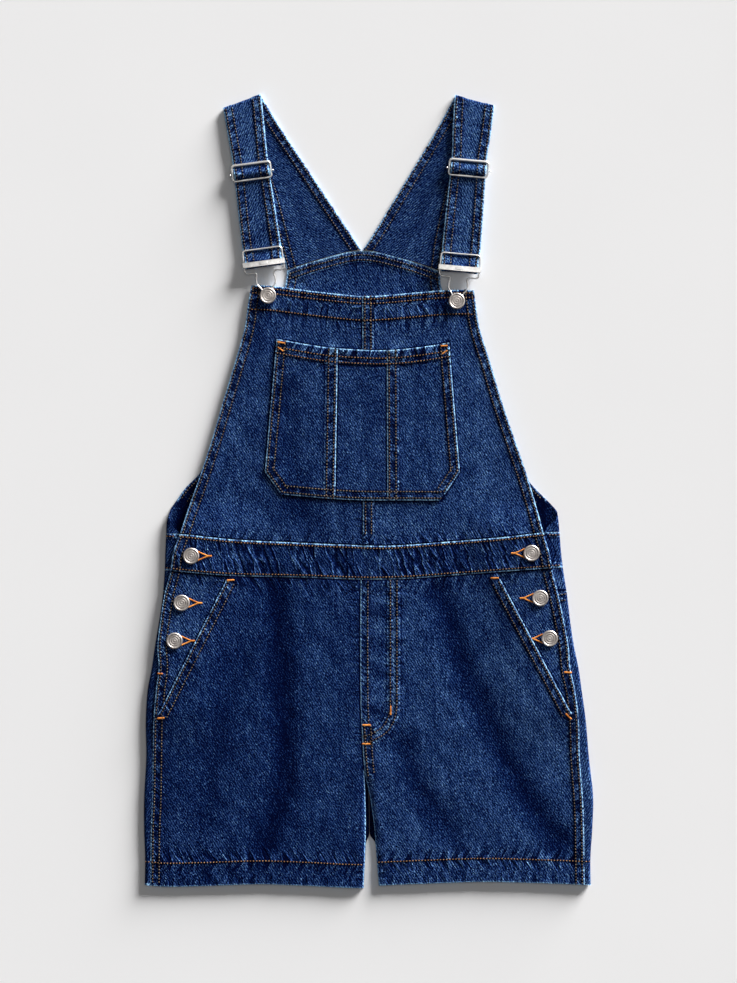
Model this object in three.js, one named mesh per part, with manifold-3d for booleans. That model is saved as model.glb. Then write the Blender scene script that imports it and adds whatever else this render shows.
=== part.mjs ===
// Denim shortalls laid flat, front up, with the straps turned over at the shoulders.
// Millimetres: +X to the right, +Y from the hems to the straps, +Z up. The origin is on the
// surface they lie on, under the middle of the garment.
import * as THREE from "three";
import Module from "manifold-3d";
import { mergeVertices } from "three/addons/utils/BufferGeometryUtils.js";

const wasm = await Module();
wasm.setup();
const { lerp, clamp, degToRad } = THREE.MathUtils;

// Cloth and seams
const CLOTH = 1.2; // one layer of denim
const DOUBLED = 2.4; // the waistbands, cut as two layers
const HEM_CLOTH = 2.2; // a turned hem, pressed
const STRAP_CLOTH = 1.8; // two thin layers, pressed and stitched
const SEAM = 0.3; // between neighbouring pieces
const HEM_DEPTH = 24.5;
const BIB_TURN = 25; // the depth of the bib's turned top edge
const TURN_STEP = 4; // a turned edge thickens over this length
const LAYER = CLOTH + SEAM; // what one more layer adds to the height

// Sides: the fold that bounds the outline, the front's side edge, and the fold's radius.
const SIDES = [
  { y: -411, foldLeft: -232.8, edgeLeft: -227, edgeRight: 225, foldRight: 231.3, radius: 2.8 },
  { y: -382, foldLeft: -232.5, edgeLeft: -226.8, edgeRight: 224.6, foldRight: 231, radius: 2.9 },
  { y: -350, foldLeft: -233.6, edgeLeft: -226.4, edgeRight: 224.2, foldRight: 233, radius: 3 },
  { y: -318, foldLeft: -233.4, edgeLeft: -225, edgeRight: 222.9, foldRight: 233.8, radius: 3.1 },
  { y: -277, foldLeft: -231.3, edgeLeft: -224.4, edgeRight: 219.8, foldRight: 229.4, radius: 3.1 },
  { y: -239, foldLeft: -231.8, edgeLeft: -223.6, edgeRight: 218.6, foldRight: 226.2, radius: 3.1 },
  { y: -207, foldLeft: -229.8, edgeLeft: -221, edgeRight: 214.8, foldRight: 221.9, radius: 3.2 },
  { y: -184, foldLeft: -225.5, edgeLeft: -218.2, edgeRight: 210, foldRight: 218.5, radius: 3.2 },
  { y: -160, foldLeft: -222, edgeLeft: -219.3, edgeRight: 207.8, foldRight: 213.6, radius: 3.2 },
  { y: -136, foldLeft: -218, edgeLeft: -216.5, edgeRight: 203.5, foldRight: 210, radius: 3.2 },
  { y: -108, foldLeft: -214, edgeLeft: -212.2, edgeRight: 197.5, foldRight: 206.6, radius: 3.2 },
  { y: -82, foldLeft: -212, edgeLeft: -205.5, edgeRight: 191, foldRight: 202.6, radius: 3.2 },
  { y: -65, foldLeft: -211.5, edgeLeft: -203, edgeRight: 188, foldRight: 200.6, radius: 3.2 },
  { y: -43, foldLeft: -210.5, edgeLeft: -195.5, edgeRight: 181.7, foldRight: 198.8, radius: 3.2 },
];

// The front bib's two side edges.
const BIB_EDGES = [
  { y: -44, left: -195.5, right: 181.8 },
  { y: -20, left: -187.9, right: 175.6 },
  { y: 18, left: -174.5, right: 164.3 },
  { y: 56, left: -162.1, right: 151.3 },
  { y: 94, left: -151, right: 138.5 },
  { y: 136, left: -138.3, right: 126 },
  { y: 170, left: -128.8, right: 115.5 },
  { y: 199, left: -124.6, right: 111 },
  { y: 214, left: -121.7, right: 109 },
];

// The front's centre seam, which parts below the crotch into the two inner legs.
const FRONT_INNER = [
  { y: -413, left: -5.1, right: 10.8 },
  { y: -382, left: -3.5, right: 8.3 },
  { y: -350, left: -2.7, right: 5.8 },
  { y: -318, left: -3.2, right: 1.4 },
  { y: -294, left: -4.1, right: -3.8 },
  { y: -260, left: -6.5, right: -6.5 },
  { y: -215, left: -8.4, right: -8.4 },
  { y: -90, left: -8.2, right: -8.2 },
  { y: -50, left: -6, right: -6 },
  { y: 214, left: -6.8, right: -6.8 },
];

// The back's centre seam, which reaches lower than the front's before the legs part.
const BACK_INNER = [
  { y: -413, left: -4.8, right: 11 },
  { y: -382, left: -3.2, right: 8.6 },
  { y: -366, left: -2.4, right: 7 },
  { y: -358, left: 1, right: 1 },
  { y: -320, left: 0.5, right: 0.5 },
  { y: -90, left: 0, right: 0 },
];

// Seams and edges that run across the garment.
const HEM_LINE = [
  { x: -231, y: -409.8 },
  { x: -211, y: -411.5 },
  { x: -174, y: -410.9 },
  { x: -114, y: -409 },
  { x: -71, y: -410.3 },
  { x: -5, y: -413 },
  { x: 11, y: -410.6 },
  { x: 63, y: -408.3 },
  { x: 121, y: -406.5 },
  { x: 176, y: -407.8 },
  { x: 229, y: -409.8 },
];
const WAIST_BOTTOM = [
  { x: -206, y: -82.9 },
  { x: -147, y: -88 },
  { x: -66, y: -90 },
  { x: -3, y: -92.2 },
  { x: 41, y: -91.2 },
  { x: 86, y: -87.9 },
  { x: 134, y: -84.3 },
  { x: 202, y: -79.3 },
];
const WAIST_TOP = [
  { x: -209, y: -44.5 },
  { x: -195, y: -44.8 },
  { x: -140, y: -50.5 },
  { x: -83, y: -53.4 },
  { x: -26, y: -55.8 },
  { x: 20, y: -57 },
  { x: 86, y: -52.5 },
  { x: 144, y: -47.6 },
  { x: 182, y: -43.2 },
  { x: 198, y: -43 },
];
const BIB_TOP = [
  { x: -122, y: 213.9 },
  { x: -102, y: 213.3 },
  { x: -64, y: 208.6 },
  { x: -26, y: 204.3 },
  { x: -4, y: 202.6 },
  { x: 20, y: 203.8 },
  { x: 48, y: 206.3 },
  { x: 75, y: 208.6 },
  { x: 98, y: 209.2 },
  { x: 110, y: 208.6 },
];
const BACK_BIB_TOP = [
  { x: -84, y: 230 },
  { x: -48, y: 241.5 },
  { x: -7, y: 250.2 },
  { x: 36, y: 241.5 },
  { x: 74, y: 228.6 },
];
const YOKE_SIDE_Y = -103; // the back yoke's lower seam at the side folds
const YOKE_MIDDLE_Y = -135; // and at the centre back

// The back bib: where it leaves the surface on each side, and how much of it turns up from there.
const BACK_BIB = [
  { y: -44, left: -207.3, wrapLeft: 21.4, right: 195.6, wrapRight: 23.5 },
  { y: -36, left: -207.1, wrapLeft: 12.5, right: 195, wrapRight: 18.5 },
  { y: -30, left: -206.4, wrapLeft: 9, right: 194.4, wrapRight: 10 },
  { y: -22, left: -203.8, wrapLeft: 5, right: 193.2, wrapRight: 5 },
  { y: -15, left: -201.6, wrapLeft: 2, right: 189.2, wrapRight: 2 },
  { y: -8, left: -197.8, wrapLeft: 0.8, right: 183.4, wrapRight: 0.8 },
  { y: 3, left: -190, wrapLeft: 0.8, right: 172.4, wrapRight: 0.8 },
  { y: 20, left: -174, wrapLeft: 0.8, right: 159, wrapRight: 0.8 },
  { y: 89, left: -141, wrapLeft: 0.8, right: 131, wrapRight: 0.8 },
  { y: 155, left: -106, wrapLeft: 0.8, right: 97, wrapRight: 0.8 },
  { y: 213, left: -86.4, wrapLeft: 0.8, right: 75, wrapRight: 0.8 },
  { y: 231, left: -84, wrapLeft: 0.8, right: 74, wrapRight: 0.8 },
];

// Height of the front's upper surface: along the middle, and near the side edges.
const FRONT_HEIGHTS = [
  { y: -413, middle: 5.6, side: 5.6 },
  { y: -382, middle: 5.8, side: 5.8 },
  { y: -350, middle: 6, side: 6 },
  { y: -277, middle: 6.2, side: 6.2 },
  { y: -262, middle: 6.2, side: 6.9 },
  { y: -245, middle: 6.2, side: 8.2 },
  { y: -228, middle: 6.2, side: 9.5 },
  { y: -205, middle: 6.2, side: 9.5 },
  { y: -60, middle: 6, side: 9.5 },
  { y: -44, middle: 6, side: 9.4 },
  { y: -30, middle: 6, side: 8 },
  { y: -12, middle: 6, side: 6.1 },
  { y: 0, middle: 6, side: 6 },
  { y: 160, middle: 5.6, side: 5.6 },
  { y: 214, middle: 5.4, side: 5.4 },
];
const RISE_FROM_EDGE = 96; // the side height starts to build this far in from the edge
const RISE_LENGTH = 60;
const INNER_ROLL = 7; // the inner leg rolls down to the back over this width
const CROTCH_Y = -285;
const CROTCH_LENGTH = 25;

// The largest soft folds, as troughs along a path of points across and up the garment.
const FOLDS = [
  { width: 14, depth: 1.5, path: [[-97, -100], [-88, -228], [-87, -311], [-109, -364]] },
  { width: 16, depth: 0.7, path: [[-139, -176], [-170, -332]] },
  { width: 14, depth: 1.5, path: [[75, -106], [100, -186], [137, -269], [173, -332], [196, -362]] },
  { width: 15, depth: 1.1, path: [[34, -264], [53, -311], [86, -354]] },
  { width: 13, depth: 0.8, path: [[-87, 105], [-76, 12], [-68, -26]] },
];

// The slanted front pockets: the opening's edge, and how far its facing reaches under the leg.
const SLANT = {
  left: { topX: -146.5, topY: -90, bottomX: -217, bottomY: -229.5 },
  right: { topX: 135.5, topY: -89, bottomX: 209.5, bottomY: -228.5 },
};
const SLANT_JOIN = 9; // the edge runs out into the side seam over this height
const FACING_UNDER = 16;
const FACING_BOTTOM_Y = -236;

// The buttoned side openings.
const OPENING_BOTTOM_Y = -187;
const OPENING_BLEND = 8; // length over which the seam below opens
const WRAP_UNDER = 3; // the back's cloth goes on under the front's edge here
const UNDERLAP_WIDTH = 27;
const BAND_UNDER = 30;
const BUTTONHOLE_RADIUS = 2.6;
const BUTTONHOLE_SLIT = { length: 11, width: 1, start: 1 };
const BUTTONHOLE_SIDES = 12;
const CUT_THROUGH = 40; // deeper than any layer that a buttonhole goes through

// The bib pocket: its outline, and the two seams between its three panels.
const POCKET_SIDES = [
  { y: -10, left: -89.7, right: 74 },
  { y: -4, left: -90.5, right: 79 },
  { y: 20, left: -107.8, right: 95 },
  { y: 158, left: -95.5, right: 83.5 },
];
const POCKET_BOTTOM = [
  { x: -107, y: -3.8 },
  { x: -90, y: -3.8 },
  { x: -40, y: -8 },
  { x: -3, y: -9.7 },
  { x: 38, y: -9.8 },
  { x: 95, y: -10.2 },
];
const POCKET_TOP = [
  { x: -96, y: 158.1 },
  { x: -45, y: 149.6 },
  { x: -3, y: 146.6 },
  { x: 24, y: 146.6 },
  { x: 53, y: 149.4 },
  { x: 84, y: 154.3 },
];
const POCKET_SEAMS = [
  { y: -10, left: -34.5, right: 19.4 },
  { y: 158, left: -31.6, right: 18.8 },
];

// The straps. The back run goes from the bib's seam to the shoulder fold.
const STRAP_BACK = {
  left: [
    { innerX: -7.4, innerY: 250.6, outerX: -84.8, outerY: 230.2 },
    { innerX: -21.2, innerY: 271.6, outerX: -91.2, outerY: 253.5 },
    { innerX: -38.3, innerY: 297.4, outerX: -98.6, outerY: 283.3 },
    { innerX: -61, innerY: 331.7, outerX: -110.4, outerY: 322.8 },
    { innerX: -89.4, innerY: 374.6, outerX: -131.7, outerY: 365 },
    { innerX: -111.5, innerY: 410.7, outerX: -150.8, outerY: 396.2 },
  ],
  right: [
    { innerX: -6, innerY: 250.6, outerX: 74.4, outerY: 228.8 },
    { innerX: 7.3, innerY: 270.9, outerX: 78.2, outerY: 255.1 },
    { innerX: 22.8, innerY: 296.4, outerX: 84.4, outerY: 284.8 },
    { innerX: 43.7, innerY: 330.7, outerX: 94.4, outerY: 323 },
    { innerX: 69.3, innerY: 373, outerX: 112.6, outerY: 364.7 },
    { innerX: 89.4, innerY: 409.5, outerX: 130.6, outerY: 398.5 },
  ],
};
const SHOULDER_RADIUS = 1.6; // of the middle of the cloth, round the shoulder fold
const SHOULDER_STEPS = 7;
const STRAP_COLUMNS = 4;
const BEND_STEPS = 4; // rows in each turn round a bar
const STRAP_BASE_GAP = 0.9; // above the back bib
const STRAP_SQUARE = 60; // rows turn square to the strap over this length from the shoulder fold
const STRAP_CLEAR = 0.2; // between the cloth and the bars it goes round
const STRAP_AT_SLIDER = 18.4; // half widths where the metal holds it in
const STRAP_AT_BUCKLE = 19;

// The way down from the shoulder fold, then above the button or the slider's bar, and the way back up.
const STRAP_TOP = [
  { below: 0, rise: 0, narrower: 0 },
  { below: 15, rise: 0.2, narrower: 0.4 },
  { below: 35, rise: 0.5, narrower: 1.1 },
];
const STRAP_DOWN = [
  { from: "slider", up: 22, z: 4.9, half: 18.7 },
  { from: "slider", up: 9.2, z: 5.2, half: 18.4 },
  { from: "slider", up: 5.5, z: 7, half: 18.4 },
  { from: "slider", up: 2.5, z: 8.9, half: 18.4 },
  { from: "slider", up: 0, z: 9.5, half: 18.4 },
  { from: "slider", up: -2.5, z: 8.9, half: 18.4 },
  { from: "slider", up: -4.6, z: 6.8, half: 18.4 },
  { from: "slider", up: -6.6, z: 5.4, half: 18.6 },
  { from: "slider", up: -20, z: 5.2, half: 19 },
  { from: "slider", up: -45, z: 5, half: 19.6 },
  { from: "button", up: 56, z: 4.9, half: 20.1 },
  { from: "button", up: 49.2, z: 4.9, half: 19.8 },
  { from: "button", up: 44.5, z: 5.4, half: 19.1 },
  { from: "button", up: 38.5, z: 7.7, half: 19 },
];
const STRAP_RETURN = [
  { from: "button", up: 38, z: 4, half: 19 },
  { from: "button", up: 44, z: 3, half: 19 },
  { from: "button", up: 52, z: 2.95, half: 19.3 },
  { from: "button", up: 74, z: 2.95, half: 19.3 },
  { from: "slider", up: -20, z: 3, half: 18.8 },
  { from: "slider", up: -7, z: 3.1, half: 18.4 },
];

// Metal
const BUTTON_SHANK = 2.2;
const BUTTON_SIDES = 16;
const BUTTON_CAP = [
  { r: 7.5, rise: 0 },
  { r: 8.5, rise: 0.8 },
  { r: 8.3, rise: 1.9 },
  { r: 7.3, rise: 2.4 },
  { r: 6.4, rise: 1.9 },
  { r: 2.6, rise: 2.2 },
  { r: 0, rise: 2 },
];
const WIRE_RADIUS = 0.85; // of the buckle
const WIRE_Z = 7; // height of the buckle's wire
const BUCKLE_BAR = { up: 33, radius: 0.8 };
const PLATE = { up: 33.8, height: 5.4, half: 22.1, z: 10.2, thick: 0.7 };
const TAB = { bottomZ: 5.9, thick: 0.65 };
const TONGUE = { half: 4.2, fromBottom: 0.8, fromTop: 1.6, proud: 0.7 };
const BUCKLE_SIDE = 20.4;
const SLIDER = { z: 7.9, half: 20.1, rise: 8.2, shift: 1.3, corner: 3, radius: 1.05, topRadius: 1.4 };
const SLIDER_BAR = { z: 5.3, radius: 0.9, half: 22.3, endZ: 8.6, bendIn: 1, bendUp: 1.1 };
const WIRE_SIDES = 8;
const CORNER_STEPS = 3;

// Where the straps' buttons are, and how far up each strap its slider is.
const HOOKS = {
  left: { x: -104.4, y: 203.1, slider: 128.6 },
  right: { x: 91.7, y: 197.4, slider: 137.1 },
};
// The side buttons from the waist down. The first goes through the waistband.
const SIDE_BUTTONS = {
  left: [
    { x: -184.2, y: -67.4 },
    { x: -194.1, y: -116.2 },
    { x: -201.5, y: -155.5 },
  ],
  right: [
    { x: 169.3, y: -64.5 },
    { x: 178.4, y: -111.2 },
    { x: 188.2, y: -153.2 },
  ],
};

// Half of the buckle's wire, from the middle of its top to the bottom of its eye.
const BUCKLE_HALF = [
  { across: 0, up: 49.2 },
  { across: 9, up: 49.2 },
  { across: 16.9, up: 49.2 },
  { across: 19.4, up: 48.3 },
  { across: 20.4, up: 45.8 },
  { across: 20.4, up: 37 },
  { across: 20.4, up: 28.4 },
  { across: 19.4, up: 25.9 },
  { across: 16.9, up: 25 },
  { across: 11.6, up: 25 },
  { across: 9.7, up: 24.2 },
  { across: 9, up: 22.3 },
  { across: 9.9, up: 17.2 },
  { across: 9.4, up: 12.6 },
  { across: 6.6, up: 8.6 },
  { across: 5, up: 5 },
  { across: 4.6, up: 0 },
  { across: 3.3, up: -3.3 },
  { across: 0, up: -4.7 },
];

// Rows of points up the panels as shares of their length, closer where the cloth turns or thickens.
const BIB_ROWS = [0, 0.1, 0.2, 0.3, 0.4, 0.5, 0.6, 0.7, 0.8, 0.88, 0.905, 0.95, 1];
const POCKET_ROWS = [0, 0.09, 0.165, 0.3, 0.5, 0.7, 0.88, 1];
const BACK_LEG_ROWS = [
  0, 0.04, 0.075, 0.09, 0.2, 0.31, 0.42, 0.53, 0.62, 0.67, 0.7, 0.73, 0.77, 0.81, 0.85, 0.9, 0.95, 1,
];
const BACK_BIB_ROWS = [0, 0.025, 0.05, 0.075, 0.1, 0.125, 0.155, 0.2, 0.3, 0.5, 0.75, 1];
// The front legs' rows, in millimetres above the hem.
const LEG_LENGTH = 321;
const LEG_ROWS = [0, 12, 22.5, 27, 50, 75, 100, 125, 148, 166, 172, 177, 200, 222, 245, 270, 297, LEG_LENGTH];
const LEG_CROWDING = 1.25; // their columns crowd towards the inner leg
const PANEL_PASSES = 4; // rounds that settle a point between four curved edges
const ARC_COLUMNS = 6; // round a side fold
const OVER_COLUMNS = 2; // and on over the top
const MOST_IN_BEND = 0.85; // share of the turned-up cloth that the bend may take

const SIDE_NAMES = ["left", "right"];
const sideSign = { left: -1, right: 1 };

// Colours from the picture
const denim = { color: 0x24406f, roughness: 0.9, metalness: 0 };
const nickel = { color: 0xc9c6c0, roughness: 0.3, metalness: 1 };

const garment = new THREE.Group();

// A smooth curve through one column of a table. It runs on straight past both ends.
function curve(table, key, column) {
  const last = table.length - 1;
  const slope = (i) => {
    const before = table[Math.max(i - 1, 0)];
    const after = table[Math.min(i + 1, last)];
    return (after[column] - before[column]) / (after[key] - before[key]);
  };
  return (value) => {
    const inside = clamp(value, table[0][key], table[last][key]);
    let i = 0;
    while (i < last - 1 && inside > table[i + 1][key]) i++;
    const span = table[i + 1][key] - table[i][key];
    const t = (inside - table[i][key]) / span;
    const past = (value - inside) * slope(value > inside ? last : 0);
    return (
      past +
      table[i][column] * (1 + 2 * t) * (1 - t) ** 2 +
      table[i + 1][column] * t * t * (3 - 2 * t) +
      span * t * (1 - t) * (slope(i) * (1 - t) - slope(i + 1) * t)
    );
  };
}

// Straight lines from row to row of one column of a table.
function straight(table, key, column) {
  return (value) => {
    let i = 0;
    while (i < table.length - 2 && value > table[i + 1][key]) i++;
    const t = (value - table[i][key]) / (table[i + 1][key] - table[i][key]);
    return lerp(table[i][column], table[i + 1][column], t);
  };
}

const ease = (t) => THREE.MathUtils.smoothstep(t, 0, 1);
const even = (count) => Array.from({ length: count + 1 }, (_, i) => i / count);

const edge = { left: curve(SIDES, "y", "edgeLeft"), right: curve(SIDES, "y", "edgeRight") };
const fold = { left: curve(SIDES, "y", "foldLeft"), right: curve(SIDES, "y", "foldRight") };
const foldRadius = curve(SIDES, "y", "radius");
const bibEdge = { left: curve(BIB_EDGES, "y", "left"), right: curve(BIB_EDGES, "y", "right") };
const frontInner = { left: curve(FRONT_INNER, "y", "left"), right: curve(FRONT_INNER, "y", "right") };
const backInner = { left: straight(BACK_INNER, "y", "left"), right: straight(BACK_INNER, "y", "right") };
const hemLine = curve(HEM_LINE, "x", "y");
const waistBottom = curve(WAIST_BOTTOM, "x", "y");
const waistTop = curve(WAIST_TOP, "x", "y");
const bibTop = curve(BIB_TOP, "x", "y");
const backBibTop = curve(BACK_BIB_TOP, "x", "y");
const middleHeight = curve(FRONT_HEIGHTS, "y", "middle");
const sideHeight = curve(FRONT_HEIGHTS, "y", "side");

function yokeSeam(x) {
  return lerp(YOKE_MIDDLE_Y, YOKE_SIDE_Y, Math.min(1, Math.abs(x) / -fold.left(YOKE_SIDE_Y)));
}

// How far a point is from a path.
function awayFrom(path, x, y) {
  const distances = path.slice(1).map(([toX, toY], i) => {
    const [fromX, fromY] = path[i];
    const [runX, runY] = [toX - fromX, toY - fromY];
    const along = ((x - fromX) * runX + (y - fromY) * runY) / (runX ** 2 + runY ** 2);
    const t = clamp(along, 0, 1);
    return Math.hypot(x - fromX - t * runX, y - fromY - t * runY);
  });
  return Math.min(...distances);
}

// How deep the soft folds are at a point.
function troughs(x, y) {
  const depthOf = ({ width, depth, path }) => depth * Math.exp(-((awayFrom(path, x, y) / width) ** 2));
  return FOLDS.reduce((sum, fold) => sum + depthOf(fold), 0);
}

// Height of the front's upper surface anywhere on the bib, waistband and legs.
function frontTop(x, y) {
  const edges = y > BIB_EDGES[0].y ? bibEdge : edge;
  const fromSide = Math.min(x - edges.left(y), edges.right(y) - x);
  const rise = ease((RISE_FROM_EDGE - fromSide) / RISE_LENGTH);
  return lerp(middleHeight(y), sideHeight(y), rise) - troughs(x, y);
}

// Thickness of a leg's cloth, which is doubled in the hem.
function legCloth(x, y) {
  return lerp(CLOTH, HEM_CLOTH, ease((hemLine(x) + HEM_DEPTH - y) / TURN_STEP + 0.5));
}

// Height of a front leg, which rolls down to the back along its inner edge below the crotch.
function legTop(side, x, y) {
  const top = frontTop(x, y);
  const fromInner = Math.abs(x - frontInner[side](y));
  const level = 2 * legCloth(x, y) + SEAM;
  const out = 1 - clamp(fromInner / INNER_ROLL, 0, 1);
  const rolled = level + (top - level) * Math.sqrt(1 - out * out);
  return lerp(top, Math.min(top, rolled), ease((CROTCH_Y - y) / CROTCH_LENGTH));
}

// The place at u across and v up a panel between four edges.
function place({ from, to, bottom, top }, u, v) {
  let x = lerp(from(0), to(0), u);
  let y = 0;
  for (let pass = 0; pass < PANEL_PASSES; pass++) {
    y = lerp(bottom(x), top(x), v);
    x = lerp(from(y), to(y), u);
  }
  return [x, y];
}

// A closed wall between an outer and an inner grid of points, each a list of rows.
function wall(outer, inner) {
  const [rows, columns] = [outer.length, outer[0].length];
  const position = [...outer.flat(), ...inner.flat()].flatMap((p) => [p.x, p.y, p.z]);
  const front = (i, j) => i * columns + j;
  const back = (i, j) => rows * columns + front(i, j);
  const index = [];
  const quad = (a, b, c, d) => index.push(a, b, c, a, c, d);
  for (let i = 0; i + 1 < rows; i++)
    for (let j = 0; j + 1 < columns; j++) {
      quad(front(i, j), front(i, j + 1), front(i + 1, j + 1), front(i + 1, j));
      quad(back(i, j), back(i + 1, j), back(i + 1, j + 1), back(i, j + 1));
    }
  for (let j = 0; j + 1 < columns; j++) {
    quad(front(0, j), back(0, j), back(0, j + 1), front(0, j + 1));
    quad(front(rows - 1, j), front(rows - 1, j + 1), back(rows - 1, j + 1), back(rows - 1, j));
  }
  for (let i = 0; i + 1 < rows; i++) {
    quad(front(i, 0), front(i + 1, 0), back(i + 1, 0), back(i, 0));
    quad(front(i, columns - 1), back(i, columns - 1), back(i + 1, columns - 1), front(i + 1, columns - 1));
  }
  return facingOut(position, index);
}

// A geometry whose faces are turned outwards if its volume comes out negative.
function facingOut(position, index) {
  let volume = 0;
  const at = (i) => new THREE.Vector3().fromArray(position, 3 * i);
  for (let i = 0; i < index.length; i += 3)
    volume += at(index[i]).dot(at(index[i + 1]).cross(at(index[i + 2])));
  if (volume < 0)
    for (let i = 0; i < index.length; i += 3) [index[i], index[i + 1]] = [index[i + 1], index[i]];
  const geometry = new THREE.BufferGeometry();
  geometry.setAttribute("position", new THREE.Float32BufferAttribute(position, 3));
  geometry.setIndex(index);
  return geometry;
}

function add(name, geometry, finish = denim) {
  const mesh = new THREE.Mesh(geometry, new THREE.MeshStandardMaterial(finish));
  mesh.name = name;
  garment.add(mesh);
  return mesh;
}

// A panel of the front: edges, heights of its upper face, and thickness.
function panel(edges, columns, rows, top, thick) {
  const grid = (drop) =>
    rows.map((v) =>
      columns.map((u) => {
        const [x, y] = place(edges, u, v);
        return new THREE.Vector3(x, y, top(x, y) - drop * thick(x, y));
      }),
    );
  return wall(grid(0), grid(1));
}

const between = (f, shift) => (value) => f(value) + shift;

// Solids for joining and cutting
function solidOf(geometry) {
  const bare = geometry.clone();
  for (const name of ["normal", "uv"]) if (bare.getAttribute(name)) bare.deleteAttribute(name);
  const merged = mergeVertices(bare, 1e-4);
  return new wasm.Manifold(
    new wasm.Mesh({
      numProp: 3,
      vertProperties: new Float32Array(merged.attributes.position.array),
      triVerts: new Uint32Array(merged.index.array),
    }),
  );
}

function geometryOf(solid) {
  const mesh = solid.getMesh();
  const geometry = new THREE.BufferGeometry();
  geometry.setAttribute("position", new THREE.BufferAttribute(new Float32Array(mesh.vertProperties), 3));
  geometry.setIndex(new THREE.BufferAttribute(new Uint32Array(mesh.triVerts), 1));
  return geometry;
}

// A panel with its buttonholes cut: a round end for each shank and a slit towards the middle.
function withButtonholes(geometry, buttons, inward) {
  let solid = solidOf(geometry);
  for (const { x, y } of buttons) {
    const [radius, sides] = [BUTTONHOLE_RADIUS, BUTTONHOLE_SIDES];
    const eye = new THREE.CylinderGeometry(radius, radius, CUT_THROUGH, sides);
    eye.rotateX(Math.PI / 2).translate(x, y, 0);
    const { length, width, start } = BUTTONHOLE_SLIT;
    const slit = new THREE.BoxGeometry(length, width, CUT_THROUGH);
    slit.translate(x + inward * (length / 2 + start), y, 0);
    solid = solid.subtract(solidOf(eye)).subtract(solidOf(slit));
  }
  return geometryOf(solid);
}

// Front bib: two halves, with the top edge turned and doubled.
function frontBib() {
  const cloth = (x, y) => lerp(CLOTH, DOUBLED, ease((y - bibTop(x) + BIB_TURN) / TURN_STEP + 0.5));
  const bottom = between(waistTop, SEAM);
  for (const side of SIDE_NAMES) {
    const seam = between(frontInner.left, (sideSign[side] * SEAM) / 2);
    const edges = { from: seam, to: bibEdge[side], bottom, top: bibTop };
    add(`front_bib_${side}`, panel(edges, even(10), BIB_ROWS, frontTop, cloth));
  }
}

// Bib pocket: three panels with clipped lower corners, laid on the bib.
function bibPocket() {
  const seams = {
    left: straight(POCKET_SEAMS, "y", "left"),
    right: straight(POCKET_SEAMS, "y", "right"),
  };
  const sides = {
    left: straight(POCKET_SIDES, "y", "left"),
    right: straight(POCKET_SIDES, "y", "right"),
  };
  const gap = SEAM / 2;
  const panels = {
    left: { from: sides.left, to: between(seams.left, -gap), columns: 4 },
    middle: { from: between(seams.left, gap), to: between(seams.right, -gap), columns: 3 },
    right: { from: between(seams.right, gap), to: sides.right, columns: 4 },
  };
  const [bottom, top] = [curve(POCKET_BOTTOM, "x", "y"), curve(POCKET_TOP, "x", "y")];
  const height = (x, y) => frontTop(x, y) + LAYER;
  for (const [name, { from, to, columns }] of Object.entries(panels)) {
    const edges = { from, to, bottom, top };
    add(`bib_pocket_${name}`, panel(edges, even(columns), POCKET_ROWS, height, () => CLOTH));
  }
}

// Front waistband: doubled cloth from one side edge to the other, with a buttonhole at each end.
function frontWaistband() {
  const edges = { from: edge.left, to: edge.right, bottom: between(waistBottom, SEAM / 2), top: waistTop };
  let band = panel(edges, even(36), even(3), frontTop, () => DOUBLED);
  for (const side of SIDE_NAMES)
    band = withButtonholes(band, SIDE_BUTTONS[side].slice(0, 1), -sideSign[side]);
  add("front_waistband", band);
}

// The slanted edge of a pocket opening, carried on past its ends.
function slantAt(side, y) {
  const { topX, topY, bottomX, bottomY } = SLANT[side];
  return lerp(bottomX, topX, (y - bottomY) / (topY - bottomY));
}

// A front leg's outer edge: the pocket opening, then the side seam below it.
function legOuter(side, y) {
  const blend = ease((y - SLANT[side].bottomY + SLANT_JOIN) / SLANT_JOIN);
  const seam = edge[side](y) - (sideSign[side] * SEAM) / 2;
  return lerp(seam, slantAt(side, y), blend);
}

function frontLegs() {
  const columns = even(21).map((t) => t ** LEG_CROWDING);
  const rows = LEG_ROWS.map((height) => height / LEG_LENGTH);
  for (const side of SIDE_NAMES) {
    const edges = {
      from: between(frontInner[side], (sideSign[side] * SEAM) / 2),
      to: (y) => legOuter(side, y),
      bottom: hemLine,
      top: between(waistBottom, -SEAM / 2),
    };
    const top = (x, y) => legTop(side, x, y);
    add(`front_leg_${side}`, panel(edges, columns, rows, top, legCloth));
  }
}

// The facing under a slanted pocket opening. It carries two of the buttonholes.
function pocketFacings() {
  for (const side of SIDE_NAMES) {
    const sign = sideSign[side];
    const edges = {
      from: (y) => slantAt(side, y) - sign * FACING_UNDER,
      to: (y) => edge[side](y) - (sign * SEAM) / 2,
      bottom: () => FACING_BOTTOM_Y,
      top: between(waistBottom, -SEAM / 2),
    };
    const height = (x, y) => frontTop(x, y) - LAYER;
    const facing = panel(edges, even(6), even(11), height, () => CLOTH);
    add(`pocket_facing_${side}`, withButtonholes(facing, SIDE_BUTTONS[side].slice(1), -sign));
  }
}

// A point of the back's cloth, s past the place where it leaves the surface on one side. It
// goes round the side fold and on over the top. Depth is how far inside the cloth it lies.
function roundSide(sign, reach, radius, s, y, depth) {
  const turn = clamp(s / radius, 0, Math.PI);
  const over = Math.max(0, s - Math.PI * radius);
  const out = (radius - depth) * Math.sin(turn) - over;
  return new THREE.Vector3(reach + sign * out, y, radius - (radius - depth) * Math.cos(turn));
}

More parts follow.
